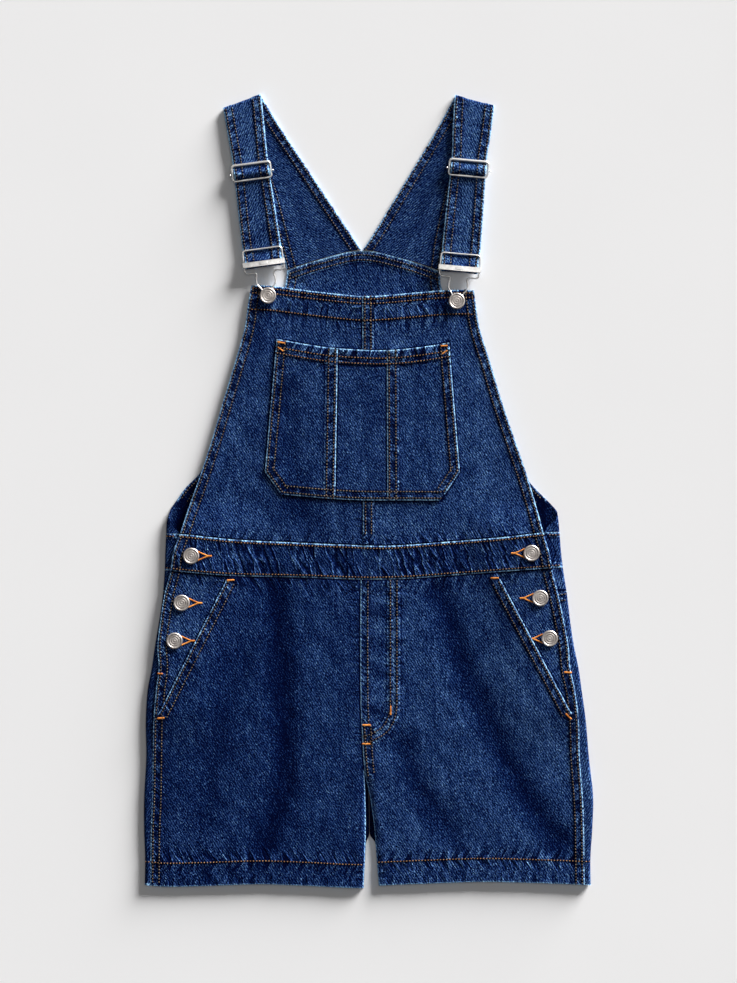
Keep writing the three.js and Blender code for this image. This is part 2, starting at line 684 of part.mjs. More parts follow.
// A sheet of the back between two ends, left and right. An end is either the line it stops at
// on the surface, or a side fold with the length of cloth that goes round and over it.
function backSheet({ left, right, bottom, top, cloth }, floorColumns, rows) {
  const ends = { left, right };
  const turned = (side) => [
    ...even(ARC_COLUMNS).slice(1).map((arc) => ({ side, arc })),
    ...even(OVER_COLUMNS).slice(1).map((over) => ({ side, over })),
  ];
  const columns = [
    ...(left.reach ? turned("left").reverse() : []),
    ...even(floorColumns).map((floor) => ({ floor })),
    ...(right.reach ? turned("right") : []),
  ];
  const stop = ({ line, reach }, y) => (line ? line(y) : reach(y));
  const at = ({ floor, side, arc, over }, y, depth) => {
    if (floor !== undefined) return new THREE.Vector3(lerp(stop(left, y), stop(right, y), floor), y, depth);
    const { reach, radius, wrap } = ends[side];
    const bend = Math.min(Math.PI * radius(y), MOST_IN_BEND * wrap(y));
    const s = arc !== undefined ? bend * arc : lerp(bend, wrap(y), over);
    return roundSide(sideSign[side], reach(y), radius(y), s, y, depth);
  };
  const point = (column, v, share) => {
    let y = lerp(bottom(0), top(0), v);
    for (let pass = 0; pass < PANEL_PASSES; pass++) {
      const { x } = at(column, y, 0);
      y = lerp(bottom(x), top(x), v);
    }
    const { x } = at(column, y, 0);
    return at(column, y, share * cloth(x, y));
  };
  const grid = (share) => rows.map((v) => columns.map((column) => point(column, v, share)));
  return wall(grid(0), grid(1));
}

// How much cloth goes round a side fold and over the top to reach the front's edge and go on
// under it.
function sideFold(side, under) {
  const reach = (y) => fold[side](y) - sideSign[side] * foldRadius(y);
  const level = (y) => sideSign[side] * (reach(y) - edge[side](y));
  const wrap = (y) => Math.PI * foldRadius(y) + level(y) - SEAM / 2 + under(y);
  return { reach, radius: foldRadius, wrap };
}

const openingUnder = (y) => (WRAP_UNDER + SEAM / 2) * ease((y - OPENING_BOTTOM_Y) / OPENING_BLEND + 1);

// The back legs and yokes meet at the centre back and go round the sides to the front's edges.
function backHalf(side, under) {
  const centre = { line: between(backInner[side], (sideSign[side] * SEAM) / 2) };
  const round = sideFold(side, under);
  return side === "left" ? { left: round, right: centre } : { left: centre, right: round };
}

function backLegs() {
  for (const side of SIDE_NAMES) {
    const seams = { bottom: hemLine, top: between(yokeSeam, -SEAM / 2), cloth: legCloth };
    add(`back_leg_${side}`, backSheet({ ...backHalf(side, openingUnder), ...seams }, 6, BACK_LEG_ROWS));
  }
}

function backYokes() {
  for (const side of SIDE_NAMES) {
    const seams = {
      bottom: between(yokeSeam, SEAM / 2),
      top: between(waistBottom, -SEAM / 2),
      cloth: () => CLOTH,
    };
    add(`back_yoke_${side}`, backSheet({ ...backHalf(side, openingUnder), ...seams }, 6, even(3)));
  }
}

// Back waistband: its ends go round the sides and lie under the front waistband.
function backWaistband() {
  const band = {
    left: sideFold("left", () => BAND_UNDER),
    right: sideFold("right", () => BAND_UNDER),
    bottom: between(waistBottom, SEAM / 2),
    top: waistTop,
    cloth: () => DOUBLED,
  };
  add("back_waistband", backSheet(band, 12, even(2)));
}

// Back bib: wide at the waist, where its corners turn up, and narrow at the straps.
function backBib() {
  const end = (side, reachColumn, wrapColumn) => ({
    reach: curve(BACK_BIB, "y", reachColumn),
    radius: foldRadius,
    wrap: straight(BACK_BIB, "y", wrapColumn),
  });
  const bib = {
    left: end("left", "left", "wrapLeft"),
    right: end("right", "right", "wrapRight"),
    bottom: between(waistTop, SEAM),
    top: backBibTop,
    cloth: () => CLOTH,
  };
  add("back_bib", backSheet(bib, 12, BACK_BIB_ROWS));
}

// The underlaps of the side openings, sewn to the back's edge and carrying two buttons each.
function underlaps() {
  for (const side of SIDE_NAMES) {
    const sign = sideSign[side];
    const edges = {
      from: (y) => edge[side](y) - sign * (WRAP_UNDER + SEAM),
      to: (y) => edge[side](y) - sign * UNDERLAP_WIDTH,
      bottom: () => OPENING_BOTTOM_Y,
      top: between(waistBottom, -SEAM / 2),
    };
    const height = (x, y) => 2 * foldRadius(y);
    add(`underlap_${side}`, panel(edges, even(3), even(9), height, () => CLOTH));
  }
}

// Straps: the frame of each, with up running from its button to its shoulder fold.
function strapFrame(side) {
  const { x, y, slider } = HOOKS[side];
  const last = STRAP_BACK[side].at(-1);
  const inner = new THREE.Vector2(last.innerX, last.innerY);
  const outer = new THREE.Vector2(last.outerX, last.outerY);
  const button = new THREE.Vector2(x, y);
  const run = inner.clone().add(outer).multiplyScalar(0.5).sub(button);
  const length = run.length();
  const up = run.normalize();
  const across = new THREE.Vector2(up.y, -up.x);
  const width = inner.clone().sub(outer);
  const towardsInner = Math.sign(width.dot(across));
  const half = Math.abs(width.dot(across)) / 2;
  const skew = width.dot(up) / width.dot(across);
  const at = (a, u, z) =>
    new THREE.Vector3(x + a * across.x + u * up.x, y + a * across.y + u * up.y, z);
  const vector = (a, u, z) => at(a, u, z).sub(at(0, 0, 0));
  return { at, vector, length, half, skew, slider, towardsInner };
}

// The path of a strap from its shoulder fold: through the slider, round the buckle's bar, and
// back below itself to the slider's bar. Rows give the way up, the height and half the width.
function strapPath({ length, half, slider }) {
  const top = STRAP_CLOTH / 2 + 2 * SHOULDER_RADIUS;
  const { up: bar } = BUCKLE_BAR;
  const loop = BUCKLE_BAR.radius + STRAP_CLEAR + STRAP_CLOTH / 2;
  const ring = SLIDER_BAR.radius + STRAP_CLEAR + STRAP_CLOTH / 2;
  const around = (centre, z, radius, from, to, width) =>
    even(BEND_STEPS).map((t) => {
      const angle = degToRad(lerp(from, to, t));
      return { up: centre + radius * Math.cos(angle), z: z + radius * Math.sin(angle), half: width };
    });
  const fromButton = (row) => ({ ...row, up: row.up + (row.from === "slider" ? slider : 0) });
  const fromShoulder = ({ below, rise, narrower }) => ({
    up: length - below,
    z: top + rise,
    half: half - narrower,
  });
  return [
    ...STRAP_TOP.map(fromShoulder),
    ...STRAP_DOWN.map(fromButton),
    ...around(bar, WIRE_Z, loop, 90, 270, STRAP_AT_BUCKLE),
    ...STRAP_RETURN.map(fromButton),
    ...around(slider, SLIDER_BAR.z, ring, -90, 95, STRAP_AT_SLIDER),
  ];
}

function strap(side) {
  const frame = strapFrame(side);
  const rows = STRAP_BACK[side].map(({ innerX, innerY, outerX, outerY }) => ({
    inner: new THREE.Vector3(innerX, innerY, STRAP_CLOTH / 2),
    outer: new THREE.Vector3(outerX, outerY, STRAP_CLOTH / 2),
    normal: new THREE.Vector3(0, 0, -1),
  }));
  const { inner, outer } = rows.at(-1);
  const away = inner.clone().sub(outer).normalize();
  away.set(-away.y, away.x, 0).multiplyScalar(Math.sign(away.y));
  const axis = new THREE.Vector3(0, 0, SHOULDER_RADIUS);
  for (const t of even(SHOULDER_STEPS).slice(1, -1)) {
    const angle = lerp(-Math.PI / 2, Math.PI / 2, t);
    const normal = away.clone().multiplyScalar(Math.cos(angle)).setZ(Math.sin(angle));
    const moved = normal.clone().multiplyScalar(SHOULDER_RADIUS).add(axis);
    rows.push({ inner: inner.clone().add(moved), outer: outer.clone().add(moved), normal });
  }
  const path = strapPath(frame);
  path.forEach(({ up, z, half }, i) => {
    const [before, after] = [path[Math.max(i - 1, 0)], path[Math.min(i + 1, path.length - 1)]];
    const level = i === 0;
    const slope = frame.vector(0, level ? 0 : before.z - after.z, level ? 1 : after.up - before.up);
    const normal = slope.multiplyScalar(level ? 1 : -1).normalize();
    const skew = frame.skew * ease(1 - (frame.length - up) / STRAP_SQUARE);
    const end = (a) => frame.at(a, up + a * skew, z);
    const reach = half * frame.towardsInner;
    rows.push({ inner: end(reach), outer: end(-reach), normal });
  });
  const grid = (share) =>
    rows.map(({ inner, outer, normal }) =>
      even(STRAP_COLUMNS).map((t) => {
        const point = outer.clone().lerp(inner, t);
        if (inner === rows[0].inner) point.y = backBibTop(point.x) + STRAP_BASE_GAP;
        return point.addScaledVector(normal, (share * STRAP_CLOTH) / 2);
      }),
    );
  add(`strap_${side}`, wall(grid(1), grid(-1)));
}

// A wire along a path in a plane, round in section, closed or with flat ends.
function wire(points, radius, normal, closed) {
  const count = points.length;
  const ringAt = (i) => {
    const before = points[closed ? (i + count - 1) % count : Math.max(i - 1, 0)];
    const after = points[closed ? (i + 1) % count : Math.min(i + 1, count - 1)];
    const tangent = after.clone().sub(before).normalize();
    const aside = tangent.clone().cross(normal).normalize();
    return even(WIRE_SIDES)
      .slice(1)
      .map((t) => {
        const angle = 2 * Math.PI * t;
        const r = radius(i);
        const offset = aside.clone().multiplyScalar(r * Math.cos(angle));
        return points[i].clone().add(offset).addScaledVector(normal, r * Math.sin(angle));
      });
  };
  const position = points.flatMap((_, i) => ringAt(i).flatMap((p) => [p.x, p.y, p.z]));
  const index = [];
  const at = (i, j) => (i % count) * WIRE_SIDES + (j % WIRE_SIDES);
  for (let i = 0; i < (closed ? count : count - 1); i++)
    for (let j = 0; j < WIRE_SIDES; j++) {
      index.push(at(i, j), at(i, j + 1), at(i + 1, j + 1));
      index.push(at(i, j), at(i + 1, j + 1), at(i + 1, j));
    }
  if (!closed)
    for (let j = 1; j < WIRE_SIDES - 1; j++) {
      index.push(at(0, 0), at(0, j + 1), at(0, j));
      index.push(at(count - 1, 0), at(count - 1, j), at(count - 1, j + 1));
    }
  return facingOut(position, index);
}

// A block in a strap's frame, between two places across it, two up it and two heights.
function block(frame, across, up, z) {
  const grid = (height) => across.map((a) => up.map((u) => frame.at(a, u, height)));
  return wall(grid(z[1]), grid(z[0]));
}

// Buckle: the wire with the strap's bar across it, and the folded plate over the strap's end.
function buckle(side) {
  const frame = strapFrame(side);
  const upright = new THREE.Vector3(0, 0, 1);
  const half = BUCKLE_HALF.map(({ across, up }) => [across, up]);
  const other = half.slice(1, -1).reverse().map(([across, up]) => [-across, up]);
  const loop = [...half, ...other].map(([a, up]) => frame.at(a, up, WIRE_Z));
  const outline = wire(loop, () => WIRE_RADIUS, upright, true);
  const bar = [-BUCKLE_SIDE, BUCKLE_SIDE].map((a) => frame.at(a, BUCKLE_BAR.up, WIRE_Z));
  const rod = wire(bar, () => BUCKLE_BAR.radius, upright, false);
  add(`buckle_wire_${side}`, geometryOf(solidOf(outline).add(solidOf(rod))), nickel);

  const { up, height, half: width, z, thick } = PLATE;
  const [low, high, face] = [up - height / 2, up + height / 2, z + thick];
  let plate = solidOf(block(frame, [-width, width], [low, high], [z, face]));
  for (const sign of [-1, 1]) {
    const across = [sign * (width - TAB.thick), sign * width];
    plate = plate.add(solidOf(block(frame, across, [low, high], [TAB.bottomZ, face])));
  }
  const ends = [low + TONGUE.fromBottom, high - TONGUE.fromTop];
  const tongue = block(frame, [-TONGUE.half, TONGUE.half], ends, [z + thick / 2, face + TONGUE.proud]);
  add(`buckle_plate_${side}`, geometryOf(plate.add(solidOf(tongue))), nickel);
}

// Slider: a frame over the strap, and a bar below it with its ends bent up outside the frame.
function slider(side) {
  const frame = strapFrame(side);
  const middle = frame.slider + SLIDER.shift;
  const corners = [
    { a: 1, b: 1, from: 90, to: 0 },
    { a: 1, b: -1, from: 0, to: -90 },
    { a: -1, b: -1, from: -90, to: -180 },
    { a: -1, b: 1, from: -180, to: -270 },
  ];
  const points = [];
  const radii = [];
  for (const { a, b, from, to } of corners)
    for (const t of even(CORNER_STEPS)) {
      const angle = degToRad(lerp(from, to, t));
      const across = a * (SLIDER.half - SLIDER.corner) + SLIDER.corner * Math.cos(angle);
      const up = b * (SLIDER.rise - SLIDER.corner) + SLIDER.corner * Math.sin(angle);
      points.push(frame.at(across, middle + up, SLIDER.z));
      radii.push(b > 0 && Math.sin(angle) > 0.9 ? SLIDER.topRadius : SLIDER.radius);
    }
  const loop = wire(points, (i) => radii[i], new THREE.Vector3(0, 0, 1), true);
  add(`slider_frame_${side}`, loop, nickel);

  const { z, half, endZ, radius, bendIn, bendUp } = SLIDER_BAR;
  const reach = half - bendIn;
  const turnZ = z + bendUp;
  const bent = [[-half, endZ], [-half, turnZ], [-reach, z], [reach, z], [half, turnZ], [half, endZ]];
  const path = bent.map(([across, height]) => frame.at(across, frame.slider, height));
  add(`slider_bar_${side}`, wire(path, () => radius, frame.vector(0, 1, 0), false), nickel);
}

// A solid turned round an upright axis, from its lowest point on the axis to its highest.
function turned(profile, sides) {
  const rings = profile.slice(1, -1);
  const [low, high] = [profile[0], profile.at(-1)];
  const position = [0, 0, low.z];
  for (const { r, z } of rings)
    for (let j = 0; j < sides; j++) {
      const angle = (2 * Math.PI * j) / sides;
      position.push(r * Math.cos(angle), r * Math.sin(angle), z);
    }
  position.push(0, 0, high.z);
  const at = (i, j) => 1 + i * sides + (j % sides);
  const top = 1 + rings.length * sides;
  const index = [];
  for (let j = 0; j < sides; j++) {
    index.push(0, at(0, j + 1), at(0, j));
    index.push(top, at(rings.length - 1, j), at(rings.length - 1, j + 1));
    for (let i = 0; i + 1 < rings.length; i++) {
      index.push(at(i, j), at(i, j + 1), at(i + 1, j + 1));
      index.push(at(i, j), at(i + 1, j + 1), at(i + 1, j));
    }
  }
  return facingOut(position, index);
}

// A shank button: its foot stands on one layer and its cap lies over the next.
function button(name, x, y, footZ, capZ) {
  const profile = [
    { r: 0, z: footZ },
    { r: BUTTON_SHANK, z: footZ },
    { r: BUTTON_SHANK, z: capZ },
    ...BUTTON_CAP.map(({ r, rise }) => ({ r, z: capZ + rise })),
  ];
  add(name, turned(profile, BUTTON_SIDES).translate(x, y, 0), nickel);
}

function buttons() {
  for (const side of SIDE_NAMES) {
    const { x, y } = HOOKS[side];
    button(`bib_button_${side}`, x, y, frontTop(x, y) + SEAM, WIRE_Z + WIRE_RADIUS + SEAM);
    SIDE_BUTTONS[side].forEach(({ x: buttonX, y: buttonY }, i) => {
      const top = frontTop(buttonX, buttonY) - (i > 0 ? LAYER : 0);
      const foot = 2 * foldRadius(buttonY) + SEAM;
      button(`side_button_${side}_${i + 1}`, buttonX, buttonY, foot, top + SEAM);
    });
  }
}

frontBib();
bibPocket();
frontWaistband();
frontLegs();
pocketFacings();
underlaps();
backLegs();
backYokes();
backWaistband();
backBib();
for (const side of SIDE_NAMES) {
  strap(side);
  buckle(side);
  slider(side);
}
buttons();

export default garment;
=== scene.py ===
# Denim shortalls laid flat on a pale floor, seen straight down.
# Lengths are in millimetres up to the last step, where each mesh is written in metres.
# X runs to the right, Y from the hems to the straps, and Z up from the floor.
import math
from functools import partial

import bmesh
import bpy
import numpy as np
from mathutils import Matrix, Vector
from mathutils.bvhtree import BVHTree


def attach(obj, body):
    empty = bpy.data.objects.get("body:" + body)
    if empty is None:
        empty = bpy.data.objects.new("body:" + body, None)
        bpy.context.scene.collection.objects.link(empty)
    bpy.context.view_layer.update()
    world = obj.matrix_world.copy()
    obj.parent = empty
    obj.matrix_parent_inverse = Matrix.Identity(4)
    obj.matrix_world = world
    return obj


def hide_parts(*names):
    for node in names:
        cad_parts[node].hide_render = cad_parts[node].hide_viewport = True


MM = 0.001
SIDES = ("left", "right")
SIGN = {"left": -1, "right": 1}

# Cloth and seams
CLOTH = 1.2
DOUBLED = 2.4
HEM_CLOTH = 2.2
HEM_DEPTH = 24.5
BIB_TURN = 25  # the depth of the bib's turned top edge
STRAP_CLOTH = 1.8
SEAM = 0.3
LAYER = CLOTH + SEAM
GRID = 2.0  # spacing of a panel's mesh
ROUND = 1.1  # how far in from an edge the cloth starts to roll over
FELL = 0.5  # how much a sewn band stands up

# Thread
STITCH_PITCH = 3.2
STITCH_LENGTH = 1.5
THREAD_RADIUS = 0.5
# Between stitches lie near-black pieces: painted shadow in the needle holes.
HOLE_LENGTH = 2.5  # of the dark gap where the needle went in
TACK_PITCH = 0.62
EYE_THREAD = 1.7  # width of the thread round a buttonhole
EYE_TACK = 2.3  # and of the tack at its end
SIDE_ROWS = (2.6, 9.2)
LINE_POINTS = 140  # of a seam's line

# Where the search for a stitch's place on its piece starts, going down
ABOVE_ALL = 100.0
BELOW_FRONT_RUN = 3.2  # between a strap's back run and its front run
RETURN_TOP = 3.6  # the part of a strap that turns back lies under this

TWILL = math.radians(-57)  # the way the denim's diagonal runs, from the cloth's width

# Camera and floor
PHOTO_WIDTH = 737 * 1.04  # millimetres across the picture at the floor
CAMERA_HEIGHT = 3000.0
FILM = 36.0

# A broad, low light from the upper right, in degrees above the floor and round from the right
KEY_POWER = 13.2
KEY_HEIGHT = 10.5
KEY_WAY = 52
KEY_SPREAD = 30
SKY_POWER = 0.12
OVERHEAD_POWER = 12


def table(columns, *rows):
    """A short table, as one array for each named column."""
    return dict(zip(columns.split(), np.array(rows, float).T))


# The fold that bounds the outline, the front's side edge, and the fold's radius.
SIDE_TABLE = table(
    "y fold_left edge_left edge_right fold_right radius",
    (-411, -232.8, -227, 225, 231.3, 2.8),
    (-382, -232.5, -226.8, 224.6, 231, 2.9),
    (-350, -233.6, -226.4, 224.2, 233, 3),
    (-318, -233.4, -225, 222.9, 233.8, 3.1),
    (-277, -231.3, -224.4, 219.8, 229.4, 3.1),
    (-239, -231.8, -223.6, 218.6, 226.2, 3.1),
    (-207, -229.8, -221, 214.8, 221.9, 3.2),
    (-184, -225.5, -218.2, 210, 218.5, 3.2),
    (-160, -222, -219.3, 207.8, 213.6, 3.2),
    (-136, -218, -216.5, 203.5, 210, 3.2),
    (-108, -214, -212.2, 197.5, 206.6, 3.2),
    (-82, -212, -205.5, 191, 202.6, 3.2),
    (-65, -211.5, -203, 188, 200.6, 3.2),
    (-43, -210.5, -195.5, 181.7, 198.8, 3.2),
)
BIB_SIDES = table(
    "y left right",
    (-44, -195.5, 181.8),
    (-20, -187.9, 175.6),
    (18, -174.5, 164.3),
    (56, -162.1, 151.3),
    (94, -151, 138.5),
    (136, -138.3, 126),
    (170, -128.8, 115.5),
    (199, -124.6, 111),
    (214, -121.7, 109),
)
FRONT_INNER = table(
    "y left right",
    (-413, -5.1, 10.8),
    (-382, -3.5, 8.3),
    (-350, -2.7, 5.8),
    (-318, -3.2, 1.4),
    (-294, -4.1, -3.8),
    (-260, -6.5, -6.5),
    (-215, -8.4, -8.4),
    (-90, -8.2, -8.2),
    (-50, -6, -6),
    (214, -6.8, -6.8),
)
BACK_INNER = table(
    "y left right",
    (-413, -4.8, 11),
    (-382, -3.2, 8.6),
    (-366, -2.4, 7),
    (-358, 1, 1),
    (-320, 0.5, 0.5),
    (-90, 0, 0),
)
HEM_LINE = table(
    "x y",
    (-231, -409.8),
    (-211, -411.5),
    (-174, -410.9),
    (-114, -409),
    (-71, -410.3),
    (-5, -413),
    (11, -410.6),
    (63, -408.3),
    (121, -406.5),
    (176, -407.8),
    (229, -409.8),
)
WAIST_BOTTOM = table(
    "x y",
    (-206, -82.9),
    (-147, -88),
    (-66, -90),
    (-3, -92.2),
    (41, -91.2),
    (86, -87.9),
    (134, -84.3),
    (202, -79.3),
)
WAIST_TOP = table(
    "x y",
    (-209, -44.5),
    (-195, -44.8),
    (-140, -50.5),
    (-83, -53.4),
    (-26, -55.8),
    (20, -57),
    (86, -52.5),
    (144, -47.6),
    (182, -43.2),
    (198, -43),
)
BIB_TOP = table(
    "x y",
    (-122, 213.9),
    (-102, 213.3),
    (-64, 208.6),
    (-26, 204.3),
    (-4, 202.6),
    (20, 203.8),
    (48, 206.3),
    (75, 208.6),
    (98, 209.2),
    (110, 208.6),
)
BACK_BIB_TOP = table(
    "x y", (-84, 230), (-48, 241.5), (-7, 250.2), (36, 241.5), (74, 228.6)
)
YOKE_SIDE_Y = -103
YOKE_MIDDLE_Y = -135
BACK_BIB = table(
    "y left wrap_left right wrap_right",
    (-44, -207.3, 21.4, 195.6, 23.5),
    (-36, -207.1, 12.5, 195, 18.5),
    (-30, -206.4, 9, 194.4, 10),
    (-22, -203.8, 5, 193.2, 5),
    (-15, -201.6, 2, 189.2, 2),
    (-8, -197.8, 0.8, 183.4, 0.8),
    (3, -190, 0.8, 172.4, 0.8),
    (20, -174, 0.8, 159, 0.8),
    (89, -141, 0.8, 131, 0.8),
    (155, -106, 0.8, 97, 0.8),
    (213, -86.4, 0.8, 75, 0.8),
    (231, -84, 0.8, 74, 0.8),
)
HEIGHTS = table(
    "y middle side",
    (-413, 5.6, 5.6),
    (-382, 5.8, 5.8),
    (-350, 6, 6),
    (-277, 6.2, 6.2),
    (-262, 6.2, 6.9),
    (-245, 6.2, 8.2),
    (-228, 6.2, 9.5),
    (-205, 6.2, 9.5),
    (-60, 6, 9.5),
    (-44, 6, 9.4),
    (-30, 6, 8),
    (-12, 6, 6.1),
    (0, 6, 6),
    (160, 5.6, 5.6),
    (214, 5.4, 5.4),
)
RISE_FROM_EDGE = 96
RISE_LENGTH = 60
INNER_ROLL = 7
CROTCH_Y = -285
CROTCH_LENGTH = 25

# Soft folds: how wide and deep each trough is, and the points that it passes. Their depth
# also darkens the cloth with painted shade, partly a darker wash.
FOLDS = (
    (14, 1.5, (-97, -100), (-88, -228), (-87, -311), (-109, -364)),
    (16, 0.7, (-139, -176), (-170, -332)),
    (14, 1.5, (75, -106), (100, -186), (137, -269), (173, -332), (196, -362)),
    (15, 1.1, (34, -264), (53, -311), (86, -354)),
    (13, 0.8, (-87, 105), (-76, 12), (-68, -26)),
)
# Patches painted darker, or paler below zero: width, strength and points. Most are painted
# shade and light of the folds, with painted shadow beside the side openings; the pale spots
# where the pocket's seams meet its top and the bars across the fly are wear.
PAINTED_SHADE_AND_WEAR = (
    (8, 0.7, (-113, 188), (-110, 150)),
    (15, 0.7, (-82, -22), (-52, -34)),
    (16, -0.35, (118, 140), (124, 10)),
    (14, 0.7, (-214, -290), (-217, -330)),
    (22, -0.4, (146, -186), (206, -290)),
    (10, 0.35, (-5, 105), (12, 70)),
    (6, -2.2, (-38, 149), (-37, 141)),
    (6, -2.2, (25, 144), (25, 139)),
    (24, -0.25, (-58, -130), (-52, -300)),
    (9, 0.8, (-96, -366), (-118, -392)),
    (9, 0.8, (200, -368), (208, -384)),
    (5, 2.0, (-214, -196), (-216, -222)),
    (4, 1.6, (208, -200), (210, -224)),
    *((5, 1.1, (4, y), (17, y - 2)) for y in (-101, -126, -157, -187, -228)),
    *((4, -0.8, (4, y), (18, y - 2)) for y in (-113, -142, -174, -200, -216)),
    *((5, 0.9, (31, y), (36, y)) for y in (-118, -155, -190)),
    *((5, -0.7, (31, y), (36, y)) for y in (-104, -136, -174, -206)),
)

# Slanted pockets and buttoned sides
SLANT = {
    "left": dict(top=(-146.5, -90), bottom=(-217, -229.5)),
    "right": dict(top=(135.5, -89), bottom=(209.5, -228.5)),
}
SLANT_JOIN = 9
FACING_UNDER = 16
FACING_BOTTOM_Y = -236
OPENING_BOTTOM_Y = -187
WRAP_UNDER = 3
UNDERLAP_WIDTH = 27
BAND_UNDER = 30

# Bib pocket
POCKET_SIDES = table(
    "y left right", (-10, -89.7, 74), (-4, -90.5, 79), (20, -107.8, 95), (158, -95.5, 83.5)
)
POCKET_BOTTOM = table(
    "x y", (-107, -3.8), (-90, -3.8), (-40, -8), (-3, -9.7), (38, -9.8), (95, -10.2)
)
POCKET_TOP = table(
    "x y",
    (-96, 158.1),
    (-45, 149.6),
    (-3, 146.6),
    (24, 146.6),
    (53, 149.4),
    (84, 154.3),
)
POCKET_SEAMS = table("y left right", (-10, -34.5, 19.4), (158, -31.6, 18.8))

# Straps, from the back bib to the shoulder fold
STRAP_BACK = {
    "left": table(
        "inner_x inner_y outer_x outer_y",
        (-7.4, 250.6, -84.8, 230.2),
        (-21.2, 271.6, -91.2, 253.5),
        (-38.3, 297.4, -98.6, 283.3),
        (-61, 331.7, -110.4, 322.8),
        (-89.4, 374.6, -131.7, 365),
        (-111.5, 410.7, -150.8, 396.2),
    ),
    "right": table(
        "inner_x inner_y outer_x outer_y",
        (-6, 250.6, 74.4, 228.8),
        (7.3, 270.9, 78.2, 255.1),
        (22.8, 296.4, 84.4, 284.8),
        (43.7, 330.7, 94.4, 323),
        (69.3, 373, 112.6, 364.7),
        (89.4, 409.5, 130.6, 398.5),
    ),
}
SHOULDER_RADIUS = 1.6
STRAP_SQUARE = 60
STRAP_CLEAR = 0.2
STRAP_BASE_GAP = 0.9
STRAP_AT_SLIDER = 18.4
STRAP_AT_BUCKLE = 19
STRAP_TOP = table("below rise narrower", (0, 0, 0), (15, 0.2, 0.4), (35, 0.5, 1.1))
STRAP_DOWN = table(
    "on_slider up z half",
    (1, 22, 4.9, 18.7),
    (1, 9.2, 5.2, 18.4),
    (1, 5.5, 7, 18.4),
    (1, 2.5, 8.9, 18.4),
    (1, 0, 9.5, 18.4),
    (1, -2.5, 8.9, 18.4),
    (1, -4.6, 6.8, 18.4),
    (1, -6.6, 5.4, 18.6),
    (1, -20, 5.2, 19),
    (1, -45, 5, 19.6),
    (0, 56, 4.9, 20.1),
    (0, 49.2, 4.9, 19.8),
    (0, 44.5, 5.4, 19.1),
    (0, 38.5, 7.7, 19),
)
STRAP_RETURN = table(
    "on_slider up z half",
    (0, 38, 4, 19),
    (0, 44, 3, 19),
    (0, 52, 2.95, 19.3),
    (0, 74, 2.95, 19.3),
    (1, -20, 3, 18.8),
    (1, -7, 3.1, 18.4),
)

# Metal
HOOKS = {
    "left": dict(x=-104.4, y=203.1, slider=128.6),
    "right": dict(x=91.7, y=197.4, slider=137.1),
}
SIDE_BUTTONS = {
    "left": ((-184.2, -67.4), (-194.1, -116.2), (-201.5, -155.5)),
    "right": ((169.3, -64.5), (178.4, -111.2), (188.2, -153.2)),
}
WIRE_Z = 7.0
WIRE_RADIUS = 0.85
BAR_UP = 33.0
BAR_RADIUS = 0.8
PLATE_UP = 33.8  # how far the plate's middle is up the strap from its button
PLATE_Z = 10.2
PLATE_HALF = 22.1
TUBE_SIDES = 14
BUTTON_SIDES = 48
SLIDER_Z = 7.9
SLIDER_HALF = 20.1
SLIDER_RISE = 8.2
SLIDER_SHIFT = 1.3
SLIDER_CORNER = 3.0
SLIDER_RADIUS = 1.05
SLIDER_TOP_RADIUS = 1.4
SLIDER_BAR_Z = 5.3
SLIDER_BAR_END_Z = 8.6
SLIDER_BAR_HALF = 22.3
SLIDER_BAR_RADIUS = 0.9
BUCKLE_HALF = (
    (0, 49.2),
    (9, 49.2),
    (16.9, 49.2),
    (19.4, 48.3),
    (20.4, 45.8),
    (20.4, 37),
    (20.4, 28.4),
    (19.4, 25.9),
    (16.9, 25),
    (11.6, 25),
    (9.7, 24.2),
    (9, 22.3),
    (9.9, 17.2),
    (9.4, 12.6),
    (6.6, 8.6),
    (5, 5),
    (4.6, 0),
    (3.3, -3.3),
    (0, -4.7),
)


def curve(rows, key, column):
    """A smooth curve through one column of a table. It runs on straight past both ends."""
    k, c = rows[key], rows[column]
    slope = np.gradient(c, k)
    slope[1:-1] = (c[2:] - c[:-2]) / (k[2:] - k[:-2])

    def at(value):
        value = np.asarray(value, float)
        inside = np.clip(value, k[0], k[-1])
        i = np.clip(np.searchsorted(k, inside) - 1, 0, len(k) - 2)
        span = k[i + 1] - k[i]
        t = (inside - k[i]) / span
        past = (value - inside) * np.where(value > inside, slope[-1], slope[0])
        ends = c[i] * (1 + 2 * t) * (1 - t) ** 2 + c[i + 1] * t * t * (3 - 2 * t)
        return past + ends + span * t * (1 - t) * (slope[i] * (1 - t) - slope[i + 1] * t)

    return at


def straight(rows, key, column):
    return lambda value: np.interp(value, rows[key], rows[column])


def ease(t):
    t = np.clip(t, 0, 1)
    return t * t * (3 - 2 * t)


def mix(a, b, t):
    return a + (b - a) * t


edge = {s: curve(SIDE_TABLE, "y", f"edge_{s}") for s in SIDES}
fold = {s: curve(SIDE_TABLE, "y", f"fold_{s}") for s in SIDES}
fold_radius = curve(SIDE_TABLE, "y", "radius")
bib_side = {s: curve(BIB_SIDES, "y", s) for s in SIDES}
front_inner = {s: curve(FRONT_INNER, "y", s) for s in SIDES}
back_inner = {s: straight(BACK_INNER, "y", s) for s in SIDES}
hem_line = curve(HEM_LINE, "x", "y")
waist_bottom = curve(WAIST_BOTTOM, "x", "y")
waist_top = curve(WAIST_TOP, "x", "y")
bib_top = curve(BIB_TOP, "x", "y")
back_bib_top = curve(BACK_BIB_TOP, "x", "y")
middle_height = curve(HEIGHTS, "y", "middle")
side_height = curve(HEIGHTS, "y", "side")


def shifted(line, by):
    return lambda value: line(value) + by


def yoke_seam(x):
    out = np.minimum(1, np.abs(x) / -fold["left"](YOKE_SIDE_Y))
    return mix(YOKE_MIDDLE_Y, YOKE_SIDE_Y, out)


